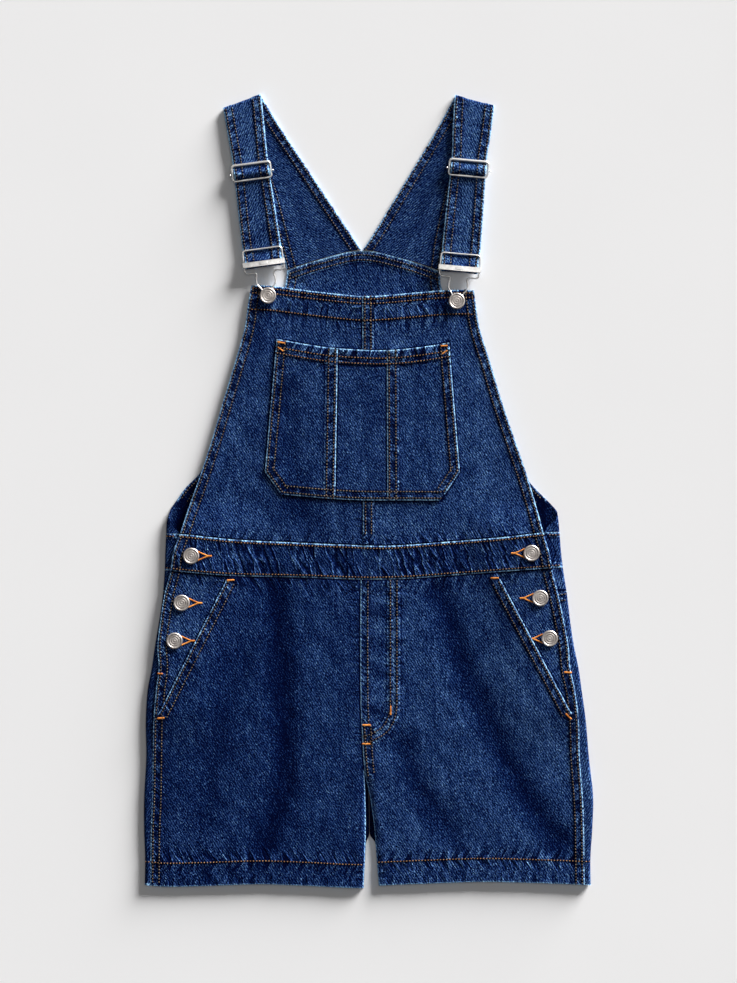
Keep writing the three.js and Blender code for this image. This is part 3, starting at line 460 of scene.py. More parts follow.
def troughs(x, y, folds=FOLDS):
    """How deep the soft folds are at a point."""
    total = 0 * x
    for width, depth, *path in folds:
        away = 1e9
        for start, end in zip(path, path[1:]):
            run = np.subtract(end, start)
            t = np.clip(((x - start[0]) * run[0] + (y - start[1]) * run[1]) / (run @ run), 0, 1)
            away = np.minimum(away, np.hypot(x - start[0] - t * run[0], y - start[1] - t * run[1]))
        total = total + depth * np.exp(-((away / width) ** 2))
    return total


def front_top(x, y):
    """Height of the front's upper surface on the bib, waistband and legs."""
    on_bib = y > BIB_SIDES["y"][0]
    left = np.where(on_bib, bib_side["left"](y), edge["left"](y))
    right = np.where(on_bib, bib_side["right"](y), edge["right"](y))
    rise = ease((RISE_FROM_EDGE - np.minimum(x - left, right - x)) / RISE_LENGTH)
    return mix(middle_height(y), side_height(y), rise) - troughs(x, y)


def leg_cloth(x, y):
    return mix(CLOTH, HEM_CLOTH, ease((hem_line(x) + HEM_DEPTH + 2 - y) / 4))


def leg_top(side, x, y):
    """Height of a front leg, which rolls down to the back along its inner edge."""
    top = front_top(x, y)
    level = 2 * leg_cloth(x, y) + SEAM
    out = 1 - np.clip(np.abs(x - front_inner[side](y)) / INNER_ROLL, 0, 1)
    rolled = level + (top - level) * np.sqrt(1 - out * out)
    return mix(top, np.minimum(top, rolled), ease((CROTCH_Y - y) / CROTCH_LENGTH))


# Meshes


def steps(length, spacing=GRID):
    """Even shares of a length, closer together at both ends where an edge is rounded."""
    ends = np.array([0, 0.35, 0.9, 1.7])
    inner = np.linspace(3, length - 3, max(2, round((length - 6) / spacing) + 1))
    return np.concatenate([ends, inner, length - ends[::-1]]) / length


def spread(start, end, bottom, top, columns, rows):
    """Points between four edges: x edges as functions of y, and y edges as functions of x."""
    u, v = np.meshgrid(columns, rows)
    x = mix(start(np.zeros_like(u)), end(np.zeros_like(u)), u)
    y = np.zeros_like(u)
    for _ in range(8):
        y = mix(bottom(x), top(x), v)
        x = mix(start(y), end(y), u)
    return np.stack([x, y], -1)


def new_object(name, data):
    made = bpy.data.objects.new(name, data)
    bpy.context.scene.collection.objects.link(made)
    return made


def write_mesh(name, points, faces, fields=None, cloth=None):
    """A mesh object in metres, smooth, with named fields on its points and a map of its cloth."""
    mesh = bpy.data.meshes.new(name)
    points = np.asarray(points, float)
    faces = np.asarray(faces, np.int32)
    a, b, c = (points[faces[:, k]] for k in (0, 1, 2))
    volume = np.einsum("ij,ij->", a, np.cross(b, c))
    if faces.shape[1] == 4:
        volume += np.einsum("ij,ij->", a, np.cross(c, points[faces[:, 3]]))
    if volume < 0:
        faces = faces[:, ::-1]
    mesh.vertices.add(len(points))
    mesh.vertices.foreach_set("co", (points * MM).ravel())
    mesh.loops.add(faces.size)
    mesh.loops.foreach_set("vertex_index", faces.ravel())
    mesh.polygons.add(len(faces))
    mesh.polygons.foreach_set("loop_start", np.arange(0, faces.size, faces.shape[1]))
    mesh.update(calc_edges=True)
    if cloth is not None:
        layer = mesh.uv_layers.new(name="cloth")
        layer.data.foreach_set("uv", np.asarray(cloth, float)[faces.ravel()].ravel())
    for key, values in (fields or {}).items():
        mesh.attributes.new(key, "FLOAT", "POINT").data.foreach_set("value", np.ravel(values))
    mesh.validate()
    mesh.shade_smooth()
    mesh.set_sharp_from_angle(angle=math.radians(50))
    return new_object(name, mesh)


def wall_faces(rows, columns):
    """Quads of a wall between an outer and an inner grid with the same layout."""
    outer = np.arange(rows * columns).reshape(rows, columns)
    inner = outer + rows * columns

    def sheet_of(grid):
        return np.stack([grid[:-1, :-1], grid[:-1, 1:], grid[1:, 1:], grid[1:, :-1]], -1).reshape(-1, 4)

    def rim(a, b):
        return np.stack([a[:-1], b[:-1], b[1:], a[1:]], -1)

    parts = [sheet_of(outer), sheet_of(inner)[:, ::-1]]
    parts += [rim(outer[0], inner[0]), rim(outer[-1], inner[-1])[:, ::-1]]
    parts += [rim(outer[:, 0], inner[:, 0])[:, ::-1], rim(outer[:, -1], inner[:, -1])]
    return np.concatenate(parts)


def away_from(points, line):
    """For each point, how far it is from a line of points, and how far along the line."""
    line = np.asarray(line, float)
    start, run = line[:-1], np.diff(line, axis=0)
    length = np.hypot(run[:, 0], run[:, 1])
    before = np.concatenate([[0], np.cumsum(length)[:-1]])
    flat = points.reshape(-1, 2)
    best = np.full(len(flat), 1e9)
    along = np.zeros(len(flat))
    for p, r, n, s in zip(start, run, length, before):
        t = np.clip(((flat - p) @ r) / max(n * n, 1e-9), 0, 1)
        d = np.hypot(*(flat - p - t[:, None] * r).T)
        near = d < best
        best[near] = d[near]
        along[near] = (s + t * n)[near]
    return best.reshape(points.shape[:2]), along.reshape(points.shape[:2])


def ripple(value, period, seed):
    """Smooth random ups and downs from -1 to 1, one in each period."""
    knots = np.random.default_rng(seed).uniform(-1, 1, 4096)
    at = value / period + 1000
    i = np.floor(at).astype(int)
    t = ease(at - i)
    return mix(knots[i % 4096], knots[(i + 1) % 4096], t)


def crumple(distance, along, reach, period, seed):
    """Soft puckers that run out from a seam. The denim's own bump adds the sharp ones."""
    wave = ripple(along, period, seed) + 0.5 * ripple(along, period * 0.6, seed + 3)
    length = reach * (0.75 + 0.5 * ripple(along, period * 1.3, seed + 9))
    return np.exp(-((distance / np.maximum(length, 1)) ** 2)) * wave


def sewn(line, rows=(), thread="brown", **settings):
    """A sewn edge or line of a panel, with its rows of stitches and its puckers. A worn edge is
    rubbed pale. A dark one lies in the crease beside or under another piece and is darkened
    there with painted shade, and the number is how many times wider than usual that shade is."""
    made = dict(worn=True, dark=False, band=0, pucker=0, reach=9, period=9, slant=0, shift=0)
    made.update(settings, line=np.asarray(line, float), rows=rows, thread=thread)
    return made


def tucked_with_painted_shade(line, **settings):
    """An edge that lies in the crease beside or under another piece, darkened there with painted shade.
    """
    return sewn(line, worn=False, dark=True, **settings)


stitch_rows = []  # for each row of stitches: its piece, line, thread and starting height
surfaces = {}


def seam_fields(name, grid, seams, calm=1.0):
    """The fields that the denim reads, and how far the seams lift the cloth.

    Edge is the distance to the nearest worn edge, crease to the nearest edge darkened with
    painted shade, step is how far outside a sewn band a point is, and row is how far past the
    nearest row of stitches.
    Crimp is the strength of the puckers, and along and away are the way along their seam and
    out from it."""
    far = np.full(grid.shape[:2], 60.0)
    near_edge, near_painted_shade, step, row, nearest = (k * far for k in (1, 1, 1, 1, 9))
    lift, creased, crimp, run, away, rope = (np.zeros(grid.shape[:2]) for _ in range(6))
    for i, seam in enumerate(seams):
        distance, along = away_from(grid, seam["line"])
        if seam["worn"]:
            near_edge = np.minimum(near_edge, distance)
        # An edge in a crease or under another piece is darkened with painted shade this far out.
        if seam["dark"]:
            near_painted_shade = np.minimum(near_painted_shade, distance / seam["dark"])
        for at_row in seam["rows"]:
            row = np.where(np.abs(distance - at_row) < np.abs(row), distance - at_row, row)
        if seam["band"]:
            within = distance - seam["band"]
            rope = np.where(within < step, 1.0 if seam["band"] < 18 else 0.35, rope)
            step = np.minimum(step, within)
            lift = np.maximum(lift, FELL * ease((seam["band"] + 0.7 - distance) / 1.4))
        if seam["pucker"]:
            seed = 31 * len(name) + 17 * i + ord(name[-1])
            bent = along + seam["slant"] * distance + seam["shift"]
            creased += seam["pucker"] * crumple(distance, bent, seam["reach"], seam["period"], seed)
            crimp = np.maximum(crimp, seam["pucker"] * np.exp(-((distance / seam["reach"]) ** 2)))
            near = distance < nearest
            nearest = np.where(near, distance, nearest)
            run = np.where(near, bent, run)
            away = np.where(near, distance, away)
    x, y = grid[..., 0], grid[..., 1]
    seed = len(name) + ord(name[-1])
    soft = ripple(y + 0.3 * x, 31, seed) * ripple(x - 0.2 * y, 37, seed + 1)
    fields = dict(edge=near_edge, crease=near_painted_shade, step=step, row=row, crimp=crimp * calm)
    fields.update(along=run + 50 * seed, away=away, pucker=creased * calm, rope=rope)
    return fields, lift * calm, soft


def finish_cloth(name, grid, heights, cloth, seams, tone=0.0, calm=1.0):
    """Builds a panel of the front from its flat grid, its heights and its seams."""
    fields, lift, soft = seam_fields(name, grid, seams, calm)
    rim = rim_distance(grid)
    top = heights + lift + 0.55 * fields["pucker"] + 0.2 * soft
    top = top - 0.3 * np.maximum(1 - rim / ROUND, 0) ** 2
    outer = np.concatenate([grid, top[..., None]], -1)
    inner = np.concatenate([grid, (heights - cloth)[..., None]], -1)
    x, y = grid[..., 0], grid[..., 1]
    # Tone darkened in the folds' troughs by painted shade, partly darker wash, and by the painted
    # patches.
    fields["tone_and_painted_shade"] = tone - 0.4 * troughs(x, y) - 0.3 * troughs(x, y, PAINTED_SHADE_AND_WEAR) + 0.05 * soft
    piece = two_sided(name, outer, inner, fields, grid)
    add_stitches(piece, grid, seams)
    keep_cloth(piece, name, outer)


def two_sided(name, outer, inner, fields, flat):
    """A closed wall between two grids, with the same fields and cloth map on both."""
    points = np.concatenate([outer.reshape(-1, 3), inner.reshape(-1, 3)])
    points[:, 2] = np.maximum(points[:, 2], 0)
    twice = {k: np.concatenate([np.ravel(v), np.ravel(v)]) for k, v in fields.items()}
    cloth = np.concatenate([flat.reshape(-1, 2)] * 2)
    return write_mesh(name + "_cloth", points, wall_faces(*outer.shape[:2]), twice, cloth)


def rim_distance(grid):
    """Distance of each point of a grid from the grid's own rim, measured along it."""

    def run(axis):
        step = np.linalg.norm(np.diff(grid, axis=axis), axis=-1)
        zero = np.zeros_like(np.take(step, [0], axis))
        along = np.concatenate([zero, np.cumsum(step, axis)], axis)
        return np.minimum(along, np.take(along, [-1], axis) - along)

    return np.minimum(run(0), run(1))


def keep_cloth(piece, name, outer):
    piece.data.materials.append(denim)
    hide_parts(name)
    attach(piece, "root")
    surfaces[name] = piece
    wide = np.linalg.norm(np.diff(outer, axis=1), axis=-1).sum(1).max()
    tall = np.linalg.norm(np.diff(outer, axis=0), axis=-1).sum(0).max()


def offset_line(line, by):
    """A line of points moved sideways to its left by a distance."""
    line = np.asarray(line, float)
    run = np.gradient(line, axis=0)
    run /= np.maximum(np.hypot(run[:, 0], run[:, 1]), 1e-9)[:, None]
    return line + by * np.stack([-run[:, 1], run[:, 0]], -1)


def inside(line, centre):
    """The line turned so that a shift to its left goes towards the centre."""
    line = np.asarray(line, float)
    middle = len(line) // 2
    run = line[min(middle + 1, len(line) - 1)] - line[middle - 1]
    towards = np.asarray(centre, float) - line[middle]
    turn = run[0] * towards[1] - run[1] * towards[0]
    return line if turn > 0 else line[::-1]


def add_stitches(piece, grid, seams):
    centre = grid.reshape(-1, 2).mean(0)
    for seam in seams:
        turned = inside(seam["line"], centre)
        for row in seam["rows"]:
            stitch_rows.append((piece, offset_line(turned, row), seam["thread"], ABOVE_ALL))


def resample(line, pitch):
    """Points at an even pitch along a line, with the direction at each."""
    line = np.asarray(line, float)
    length = np.concatenate([[0], np.cumsum(np.hypot(*np.diff(line, axis=0).T))])
    at = np.arange(pitch / 2, length[-1], pitch)
    points = np.stack([np.interp(at, length, line[:, k]) for k in (0, 1)], -1)
    ahead = np.stack([np.interp(at + 0.5, length, line[:, k]) for k in (0, 1)], -1)
    behind = np.stack([np.interp(at - 0.5, length, line[:, k]) for k in (0, 1)], -1)
    return points, ahead - behind


# Materials


def colour(hex_code):
    """A colour as read from a picture, as linear values."""
    parts = [int(hex_code[i : i + 2], 16) / 255 for i in (1, 3, 5)]
    return tuple(p / 12.92 if p <= 0.04045 else ((p + 0.055) / 1.055) ** 2.4 for p in parts) + (1,)


def add_node(tree, kind, inputs=(), out=0, stops=(), **settings):
    """Adds a node with its settings and links, and gives back one of its outputs. The inputs
    are in order or by name, and each is a value or another node's output. Stops are the places
    and colours of a colour ramp."""
    made = tree.nodes.new(kind)
    for key, value in settings.items():
        setattr(made, key, value)
    for key, value in inputs.items() if isinstance(inputs, dict) else enumerate(inputs):
        if isinstance(value, bpy.types.NodeSocket):
            tree.links.new(value, made.inputs[key])
        else:
            made.inputs[key].default_value = value
    for _ in stops[2:]:
        made.color_ramp.elements.new(0.5)
    for i, (at, hex_code) in enumerate(stops):
        made.color_ramp.elements[i].position = at
        made.color_ramp.elements[i].color = colour(hex_code)
    return made.outputs[out] if made.outputs else made


def new_material(name):
    """A material, a way to add nodes to it, and a way to set or link its surface's inputs."""
    made = bpy.data.materials.new(name)
    made.use_nodes = True
    tree = made.node_tree
    surface = tree.nodes["Principled BSDF"].inputs

    def finish(**inputs):
        for key, value in inputs.items():
            socket = surface[key.replace("_", " ")]
            if isinstance(value, bpy.types.NodeSocket):
                tree.links.new(value, socket)
            else:
                socket.default_value = value
        return made

    return partial(add_node, tree), finish


def grains(add, place, turn, along, across, detail, rough):
    """Noise whose grains have a length and width in millimetres, turned from the cloth's width."""
    inputs = {"Vector": place, "Rotation": (0, 0, turn), "Scale": (along, across, 1)}
    moved = add("ShaderNodeMapping", inputs, vector_type="TEXTURE")
    inputs = {"Vector": moved, "Scale": 1.0, "Detail": detail, "Roughness": rough}
    return add("ShaderNodeTexNoise", inputs, "Fac")


def diagonal_lines(add, place, turn, spacing, unevenness, run):
    """Wavy lines a spacing apart in millimetres, which break up after about a run."""
    moved = add("ShaderNodeMapping", {"Vector": place, "Rotation": (0, 0, -turn)})
    scale = math.tau / 20 / spacing  # the node draws 20 radians of wave to each unit
    inputs = {"Vector": moved, "Scale": scale, "Distortion": unevenness}
    inputs.update({"Detail": 1.0, "Detail Scale": 1 / (scale * run), "Detail Roughness": 0.5})
    return add("ShaderNodeTexWave", inputs, "Fac", bands_direction="Y")


def fine_noise(add, grain, detail):
    """Even noise in a metal or thread, with its grain in millimetres."""
    place = add("ShaderNodeTexCoord", out="Object")
    inputs = {"Vector": place, "Scale": 1 / (grain * MM), "Detail": detail}
    return add("ShaderNodeTexNoise", inputs, "Fac")


FIELDS = ("edge", "crease", "step", "row", "crimp", "rope", "tone_and_painted_shade", "along", "away")


def washed_denim():
    """Cotton twill dyed with indigo and washed. The eye sees dark blue with pale flecks along
    the diagonal, and paler edges, ridges and roped seams where the dye has rubbed off. It has
    hardly any shine. Painted shade darkens its creases, pucker hollows and stitch grooves, and
    with a darker wash its fold troughs; a painted shadow lies just outside each sewn band."""
    add, finish = new_material("washed_indigo_denim")
    math_node, smooth = "ShaderNodeMath", dict(interpolation_type="SMOOTHSTEP")
    place = add("ShaderNodeUVMap", uv_map="cloth")
    read = {name: add("ShaderNodeAttribute", out="Fac", attribute_name=name) for name in FIELDS}
    # Flecks of white weft show between the diagonal lines, over a fine grain. Real lines lie
    # about 0.9 mm apart, which is less than a pixel, so they are drawn as coarse as they show.
    lines = diagonal_lines(add, place, TWILL, spacing=2.35, unevenness=4.2, run=3.0)
    flecks = grains(add, place, TWILL, 2.6, 0.5, 1.0, 0.6)
    grain = grains(add, place, TWILL, 0.9, 0.4, 1.0, 0.6)
    # Uneven yarn runs up the cloth in faint streaks, and the wash leaves soft clouds.
    slubs = grains(add, place, 0, 3.2, 40, 3, 0.6)
    mottle = grains(add, place, TWILL, 26, 13, 3, 0.6)
    patchy = grains(add, place, 0, 4.5, 4.5, 3, 0.65)
    # Puckers run out from a seam. A sewn band is roped: its doubled cloth lies in short slanted
    # waves, worn on their tops.
    bent = add(math_node, (patchy, 0.7, read["along"]), operation="MULTIPLY_ADD")
    slanted = add(math_node, (read["away"], 0.45, bent), operation="MULTIPLY_ADD")
    out = add(math_node, (read["away"], 0.2), operation="MULTIPLY")
    puckers = grains(add, add("ShaderNodeCombineXYZ", (bent, out)), 0, 9.5, 9.5, 0.6, 0.4)
    ropes = grains(add, add("ShaderNodeCombineXYZ", (slanted, out)), 0, 2.7, 2.7, 1, 0.5)
    # How far a value is from the middle of a ridge, hollow, shadow or groove.
    apart = {}
    for name, value, middle in (
        ("ridge", puckers, 0.5),
        ("hollow", puckers, 0.585),
        ("below", read["step"], 0.9),
        ("groove", read["row"], 0.0),
    ):
        less = add(math_node, (value, middle), operation="SUBTRACT")
        apart[name] = add(math_node, (less,), operation="ABSOLUTE")
    # Smooth steps: each goes from the first level to the second between two values.
    step = {}
    for name, value, *levels in (
        ("ridge", apart["ridge"], 0.0, 0.06, 1, 0),
        ("hollow", apart["hollow"], 0.01, 0.1, 1, 0),
        ("edge", read["edge"], 0.5, 1.8, 1, 0),
        ("worn", patchy, 0.15, 0.5, 0, 1),
        ("band", read["step"], -0.6, 0.3, 1, 0),
        ("roped", ropes, 0.4, 0.62, -0.5, 0.5),
        ("brink", read["step"], -1.6, -0.8, 0, 1),
        ("patches", patchy, 0.3, 0.6, 0, 1),
        ("below", apart["below"], 0.2, 1.2, 1, 0),
        ("shaded", read["crease"], 0.4, 2.2, 1, 0),
        ("groove", apart["groove"], 0.2, 0.95, 1, 0),
    ):
        step[name] = add("ShaderNodeMapRange", (value, *levels), **smooth)
    # Products: the outermost millimetre of an edge is rubbed pale in patches, and so on.
    made = {}
    for name, *values in (
        ("ridge", read["crimp"], step["ridge"]),
        ("hollow", read["crimp"], step["hollow"]),
        ("rubbed", step["edge"], step["worn"]),
        ("band", step["band"], read["rope"]),
        ("brink", step["brink"], step["patches"]),
    ):
        made[name] = add(math_node, values, operation="MULTIPLY")
    roped = add(math_node, (made["band"], step["roped"]), operation="MULTIPLY")
    brink = add(math_node, (made["band"], made["brink"]), operation="MULTIPLY")
    # Each pattern is even round a half, so half its weight comes off the start.
    patterns = ((0.4, lines), (1.9, flecks), (0.9, grain), (0.4, slubs), (0.5, mottle))
    wear = ((0.64, made["rubbed"]), (0.34, roped), (0.3, brink), (0.3, made["ridge"]))
    # Painted shade: a shadow just outside each raised band, in creases and under pieces, and in stitch
    # grooves.
    dark = ((-0.16, step["below"]), (-0.5, step["shaded"]), (-0.3, step["groove"]))
    start = 0.228 - sum(weight for weight, _ in patterns) / 2
    # Start from the panel's tone, with the painted shade of the folds and the painted patches.
    tone = add(math_node, (read["tone_and_painted_shade"], 0.42, start), operation="MULTIPLY_ADD")
    # The hollows between puckers are darkened with painted shade.
    for weight, part in patterns + wear + dark + ((-0.38, made["hollow"]),):
        tone = add(math_node, (part, weight, tone), operation="MULTIPLY_ADD")
    shades = ["#000420", "#010e38", "#142c5e", "#365287", "#5a83b6", "#9ccaea"]
    stops = tuple(zip((0, 0.15, 0.35, 0.55, 0.75, 1), shades))
    shade = add("ShaderNodeValToRGB", (tone,), "Color", stops)
    # The weave stands up by under half a millimetre, and the folds and grooves by twice that.
    weave = add(math_node, (grain, 0.4), operation="MULTIPLY")
    weave = add(math_node, (flecks, 0.5, weave), operation="MULTIPLY_ADD")
    weave = add("ShaderNodeBump", {"Strength": 0.6, "Distance": 0.4 * MM, "Height": weave})
    folded = made["ridge"]
    for weight, part in ((-1.0, made["hollow"]), (0.35, roped), (-0.45, step["groove"])):
        folded = add(math_node, (part, weight, folded), operation="MULTIPLY_ADD")
    inputs = {"Strength": 1.0, "Distance": 0.8 * MM, "Height": folded, "Normal": weave}
    folds = add("ShaderNodeBump", inputs)
    return finish(Base_Color=shade, Normal=folds, Roughness=0.95, Specular_IOR_Level=0.02)


def thread(name, dark, light):
    """Twisted cotton topstitch thread. It looks dull, and its colour shifts along its run."""
    add, finish = new_material(name)
    stops = ((0.3, dark), (0.7, light))
    shade = add("ShaderNodeValToRGB", (fine_noise(add, 6.25, 2),), "Color", stops)
    inputs = {"Strength": 0.4, "Distance": 0.1 * MM, "Height": fine_noise(add, 0.3125, 1)}
    twist = add("ShaderNodeBump", inputs)
    return finish(Base_Color=shade, Normal=twist, Roughness=0.8, Specular_IOR_Level=0.05)


def metal(name, dark, light, rough, scratch, shine):
    """Steel or brass plated with nickel, stamped or bent. It looks pale and satiny, with soft
    clouds and fine scratches that break up its shine."""
    add, finish = new_material(name)
    stops = ((0.3, dark), (0.7, light))
    shade = add("ShaderNodeValToRGB", (fine_noise(add, 3.846, 3),), "Color", stops)
    fine = fine_noise(add, 0.41667, 2)
    dull = add("ShaderNodeMath", (fine, scratch, rough), operation="MULTIPLY_ADD")
    scratches = add("ShaderNodeBump", {"Strength": 0.25, "Distance": 0.05 * MM, "Height": fine})
    return finish(Base_Color=shade, Roughness=dull, Normal=scratches, Metallic=shine)


def paper():
    """Matt seamless paper, as on the floor of a photo set. It looks pale and even."""
    add, finish = new_material("pale_seamless_paper")
    stops = ((0.3, "#edecec"), (0.7, "#eeeded"))
    shade = add("ShaderNodeValToRGB", (fine_noise(add, 166.67, 1),), "Color", stops)
    return finish(Base_Color=shade, Roughness=0.9, Specular_IOR_Level=0.1)


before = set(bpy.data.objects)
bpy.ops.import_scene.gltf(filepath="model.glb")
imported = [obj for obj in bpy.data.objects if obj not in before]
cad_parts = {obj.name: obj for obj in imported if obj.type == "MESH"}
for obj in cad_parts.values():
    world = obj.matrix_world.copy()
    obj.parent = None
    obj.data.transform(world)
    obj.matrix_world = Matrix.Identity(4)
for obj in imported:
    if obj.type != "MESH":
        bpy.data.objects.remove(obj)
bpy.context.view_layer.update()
denim = washed_denim()
THREADS = {
    "tan": thread("tan_topstitch_thread", "#6e5040", "#ac8360"),
    "brown": thread("brown_topstitch_thread", "#4e4039", "#8f8072"),
    "orange": thread("orange_bartack_thread", "#b8692c", "#ee9d50"),
    # Near-black pieces of painted shadow in the needle holes.
    "hole": thread("needle_hole_shade", "#02040a", "#070b18"),
}
nickel = metal("satin_nickel_button", "#b8ada8", "#f2e9e2", 0.28, 0.16, 0.88)
steel = metal("polished_nickel_wire", "#dedbd8", "#fbf8f5", 0.26, 0.1, 0.8)


# Panels of the front


def line_across(f, start, end):
    """Points of a line whose y is a function of x."""
    at = np.linspace(start, end, LINE_POINTS)
    return np.stack([at, f(at)], -1)


def line_up(f, start, end):
    """Points of a line whose x is a function of y."""
    return line_across(f, start, end)[:, ::-1]


def panel_grid(start, end, bottom, top, width, length):
    return spread(start, end, bottom, top, steps(width), steps(length))


def front_bibs():
    seam = front_inner["left"]
    pocket_left = straight(POCKET_SIDES, "y", "left")
    pocket_right = straight(POCKET_SIDES, "y", "right")
    pocket_low, pocket_high = curve(POCKET_BOTTOM, "x", "y"), curve(POCKET_TOP, "x", "y")
    bib_hem = dict(pucker=0.85, reach=26, period=15)
    below_hem = dict(pucker=0.55, reach=12, slant=0.2)
    armhole = dict(band=9.6, pucker=0.22, reach=9, period=10)
    # The centre seam is felled to the right, and the left half is painted with the shadow of its edge.
    centre_seam = {
        "left": dict(worn=False, dark=True),
        "right": dict(rows=(2.9, 9.1), band=12.0),
    }
    for side in SIDES:
        sign = SIGN[side]
        centre = shifted(seam, sign * SEAM / 2)
        bottom = shifted(waist_top, SEAM)
        grid = panel_grid(centre, bib_side[side], bottom, bib_top, 145, 262)
        x, y = grid[..., 0], grid[..., 1]
        ends = (-7, -123) if side == "left" else (-7, 110)
        low = -44
        seams = [
            sewn(line_across(bib_top, *ends), (3.1, 7.8, BIB_TURN), "tan", band=BIB_TURN, **bib_hem),
            sewn(line_across(shifted(bib_top, -BIB_TURN), *ends), worn=False, **below_hem),
            sewn(line_up(bib_side[side], low, 214), SIDE_ROWS, **armhole),
            sewn(line_up(seam, low, 204), pucker=0.25, reach=12, **centre_seam[side]),
            # Painted shade in the crease under the waistband's top edge.
            tucked_with_painted_shade(line_across(waist_top, *ends[:1], 1.6 * ends[1]), pucker=0.45, reach=12, slant=0.5),
        ]
        aside = np.minimum(x - pocket_left(y), pocket_right(y) - x)
        inset = np.minimum(aside, np.minimum(y - pocket_low(x), pocket_high(x) - y))
        calm = 1 - ease((inset - 1) / 4)
        # Painted shade round the pocket, where its edge lies on the bib.
        outline = pocket_outline(pocket_left, pocket_right, pocket_low, pocket_high)
        seams.append(tucked_with_painted_shade(outline, pucker=0.12, reach=8))
        cloth = mix(CLOTH, DOUBLED, ease((y - bib_top(x) + HEM_DEPTH + 2) / 4))
        tone = 0.07 if side == "right" else 0.0
        finish_cloth(f"front_bib_{side}", grid, front_top(x, y), cloth, seams, tone, calm)


def pocket_outline(left, right, low, high):
    """The bib pocket's outline, with its clipped lower corners."""
    sides_up = np.linspace(20, 156, 60)
    across = np.linspace(-89, 76, 60)
    parts = [
        np.stack([left(sides_up[::-1]), sides_up[::-1]], -1),
        np.stack([across, low(across)], -1),
        np.stack([right(sides_up), sides_up], -1),
        np.stack([across[::-1], high(across[::-1])], -1),
    ]
    line = np.concatenate(parts)
    return np.concatenate([line, line[:1]])


def bib_pockets():
    seams_at = {s: straight(POCKET_SEAMS, "y", s) for s in SIDES}
    sides = {s: straight(POCKET_SIDES, "y", s) for s in SIDES}
    bottom, top = curve(POCKET_BOTTOM, "x", "y"), curve(POCKET_TOP, "x", "y")
    gap = SEAM / 2
    panels = {
        "left": (sides["left"], shifted(seams_at["left"], -gap), 66),
        "middle": (shifted(seams_at["left"], gap), shifted(seams_at["right"], -gap), 54),
        "right": (shifted(seams_at["right"], gap), sides["right"], 70),
    }
    hem = dict(band=15.5, pucker=0.9, reach=20, period=8, slant=0.15)
    round_edge = dict(rows=SIDE_ROWS, band=9.6, pucker=0.26, reach=11, period=10)
    felled = dict(rows=(2.6, 9.4), band=12.5, pucker=0.22, reach=14, period=8)
    for name, (start, end, width) in panels.items():
        grid = panel_grid(start, end, bottom, top, width, 160)
        x, y = grid[..., 0], grid[..., 1]
        low, high = x.min(), x.max()
        seams = [
            sewn(line_across(top, low, high), (8.3, 14.2), "tan", **hem),
            sewn(line_across(bottom, max(low, -89), min(high, 76)), **round_edge),
        ]
        if name == "middle":
            # The left felled seam's band lies on the left panel, and its pale edge is here. Along both
            # seams this panel is painted with the shadow of the felled edges.
            seams.append(tucked_with_painted_shade(line_up(seams_at["left"], -9, 150), pucker=0.15))
            seams.append(tucked_with_painted_shade(line_up(seams_at["right"], -9, 150), pucker=0.15))
        else:
            other = line_up(seams_at[name], -9, 150)
            seams.append(sewn(other, **felled))
            side = line_up(sides[name], 20, 158)
            clip = line_up(sides[name], -3, 20)
            seams.append(sewn(side, **round_edge))
            seams.append(sewn(clip, **round_edge))
        tone = {"left": 0.0, "middle": -0.03, "right": 0.01}[name]
        finish_cloth(f"bib_pocket_{name}", grid, front_top(x, y) + LAYER, CLOTH, seams, tone)


def front_waistband():
    bottom = shifted(waist_bottom, SEAM / 2)
    grid = panel_grid(edge["left"], edge["right"], bottom, waist_top, 395, 38)
    x, y = grid[..., 0], grid[..., 1]
    crimp = dict(pucker=0.8, reach=40, period=11)
    seams = [
        sewn(line_across(waist_top, -204, 192), (2.6,), "tan", slant=-0.3, **crimp),
        sewn(line_across(waist_bottom, -204, 192), (2.6,), "tan", slant=0.3, shift=-11, **crimp),
        sewn(line_up(edge["left"], -84, -44), SIDE_ROWS, band=9.6),
        sewn(line_up(edge["right"], -81, -43), SIDE_ROWS, band=9.6),
    ]
    finish_cloth("front_waistband", grid, front_top(x, y) + 0.3, DOUBLED, seams, -0.16)


def slant_at(side, y):
    top, bottom = SLANT[side]["top"], SLANT[side]["bottom"]
    return mix(bottom[0], top[0], (y - bottom[1]) / (top[1] - bottom[1]))


def leg_outer(side, y):
    blend = ease((y - SLANT[side]["bottom"][1] + SLANT_JOIN) / SLANT_JOIN)
    return mix(edge[side](y) - SIGN[side] * SEAM / 2, slant_at(side, y), blend)


# The curved row of the fly, outer row, as seen from above.
FLY_CURVE = (
    (29.6, -92), (29.6, -215), (29.3, -229), (26.6, -239), (22.7, -246),
    (19.3, -251), (11.2, -256), (3.2, -259.8), (-4.0, -262),
)
FLY_GAP = 6.8  # between the fly's two rows
SIDE_SEAM = dict(band=9.6, pucker=0.4, period=12, slant=0.4)


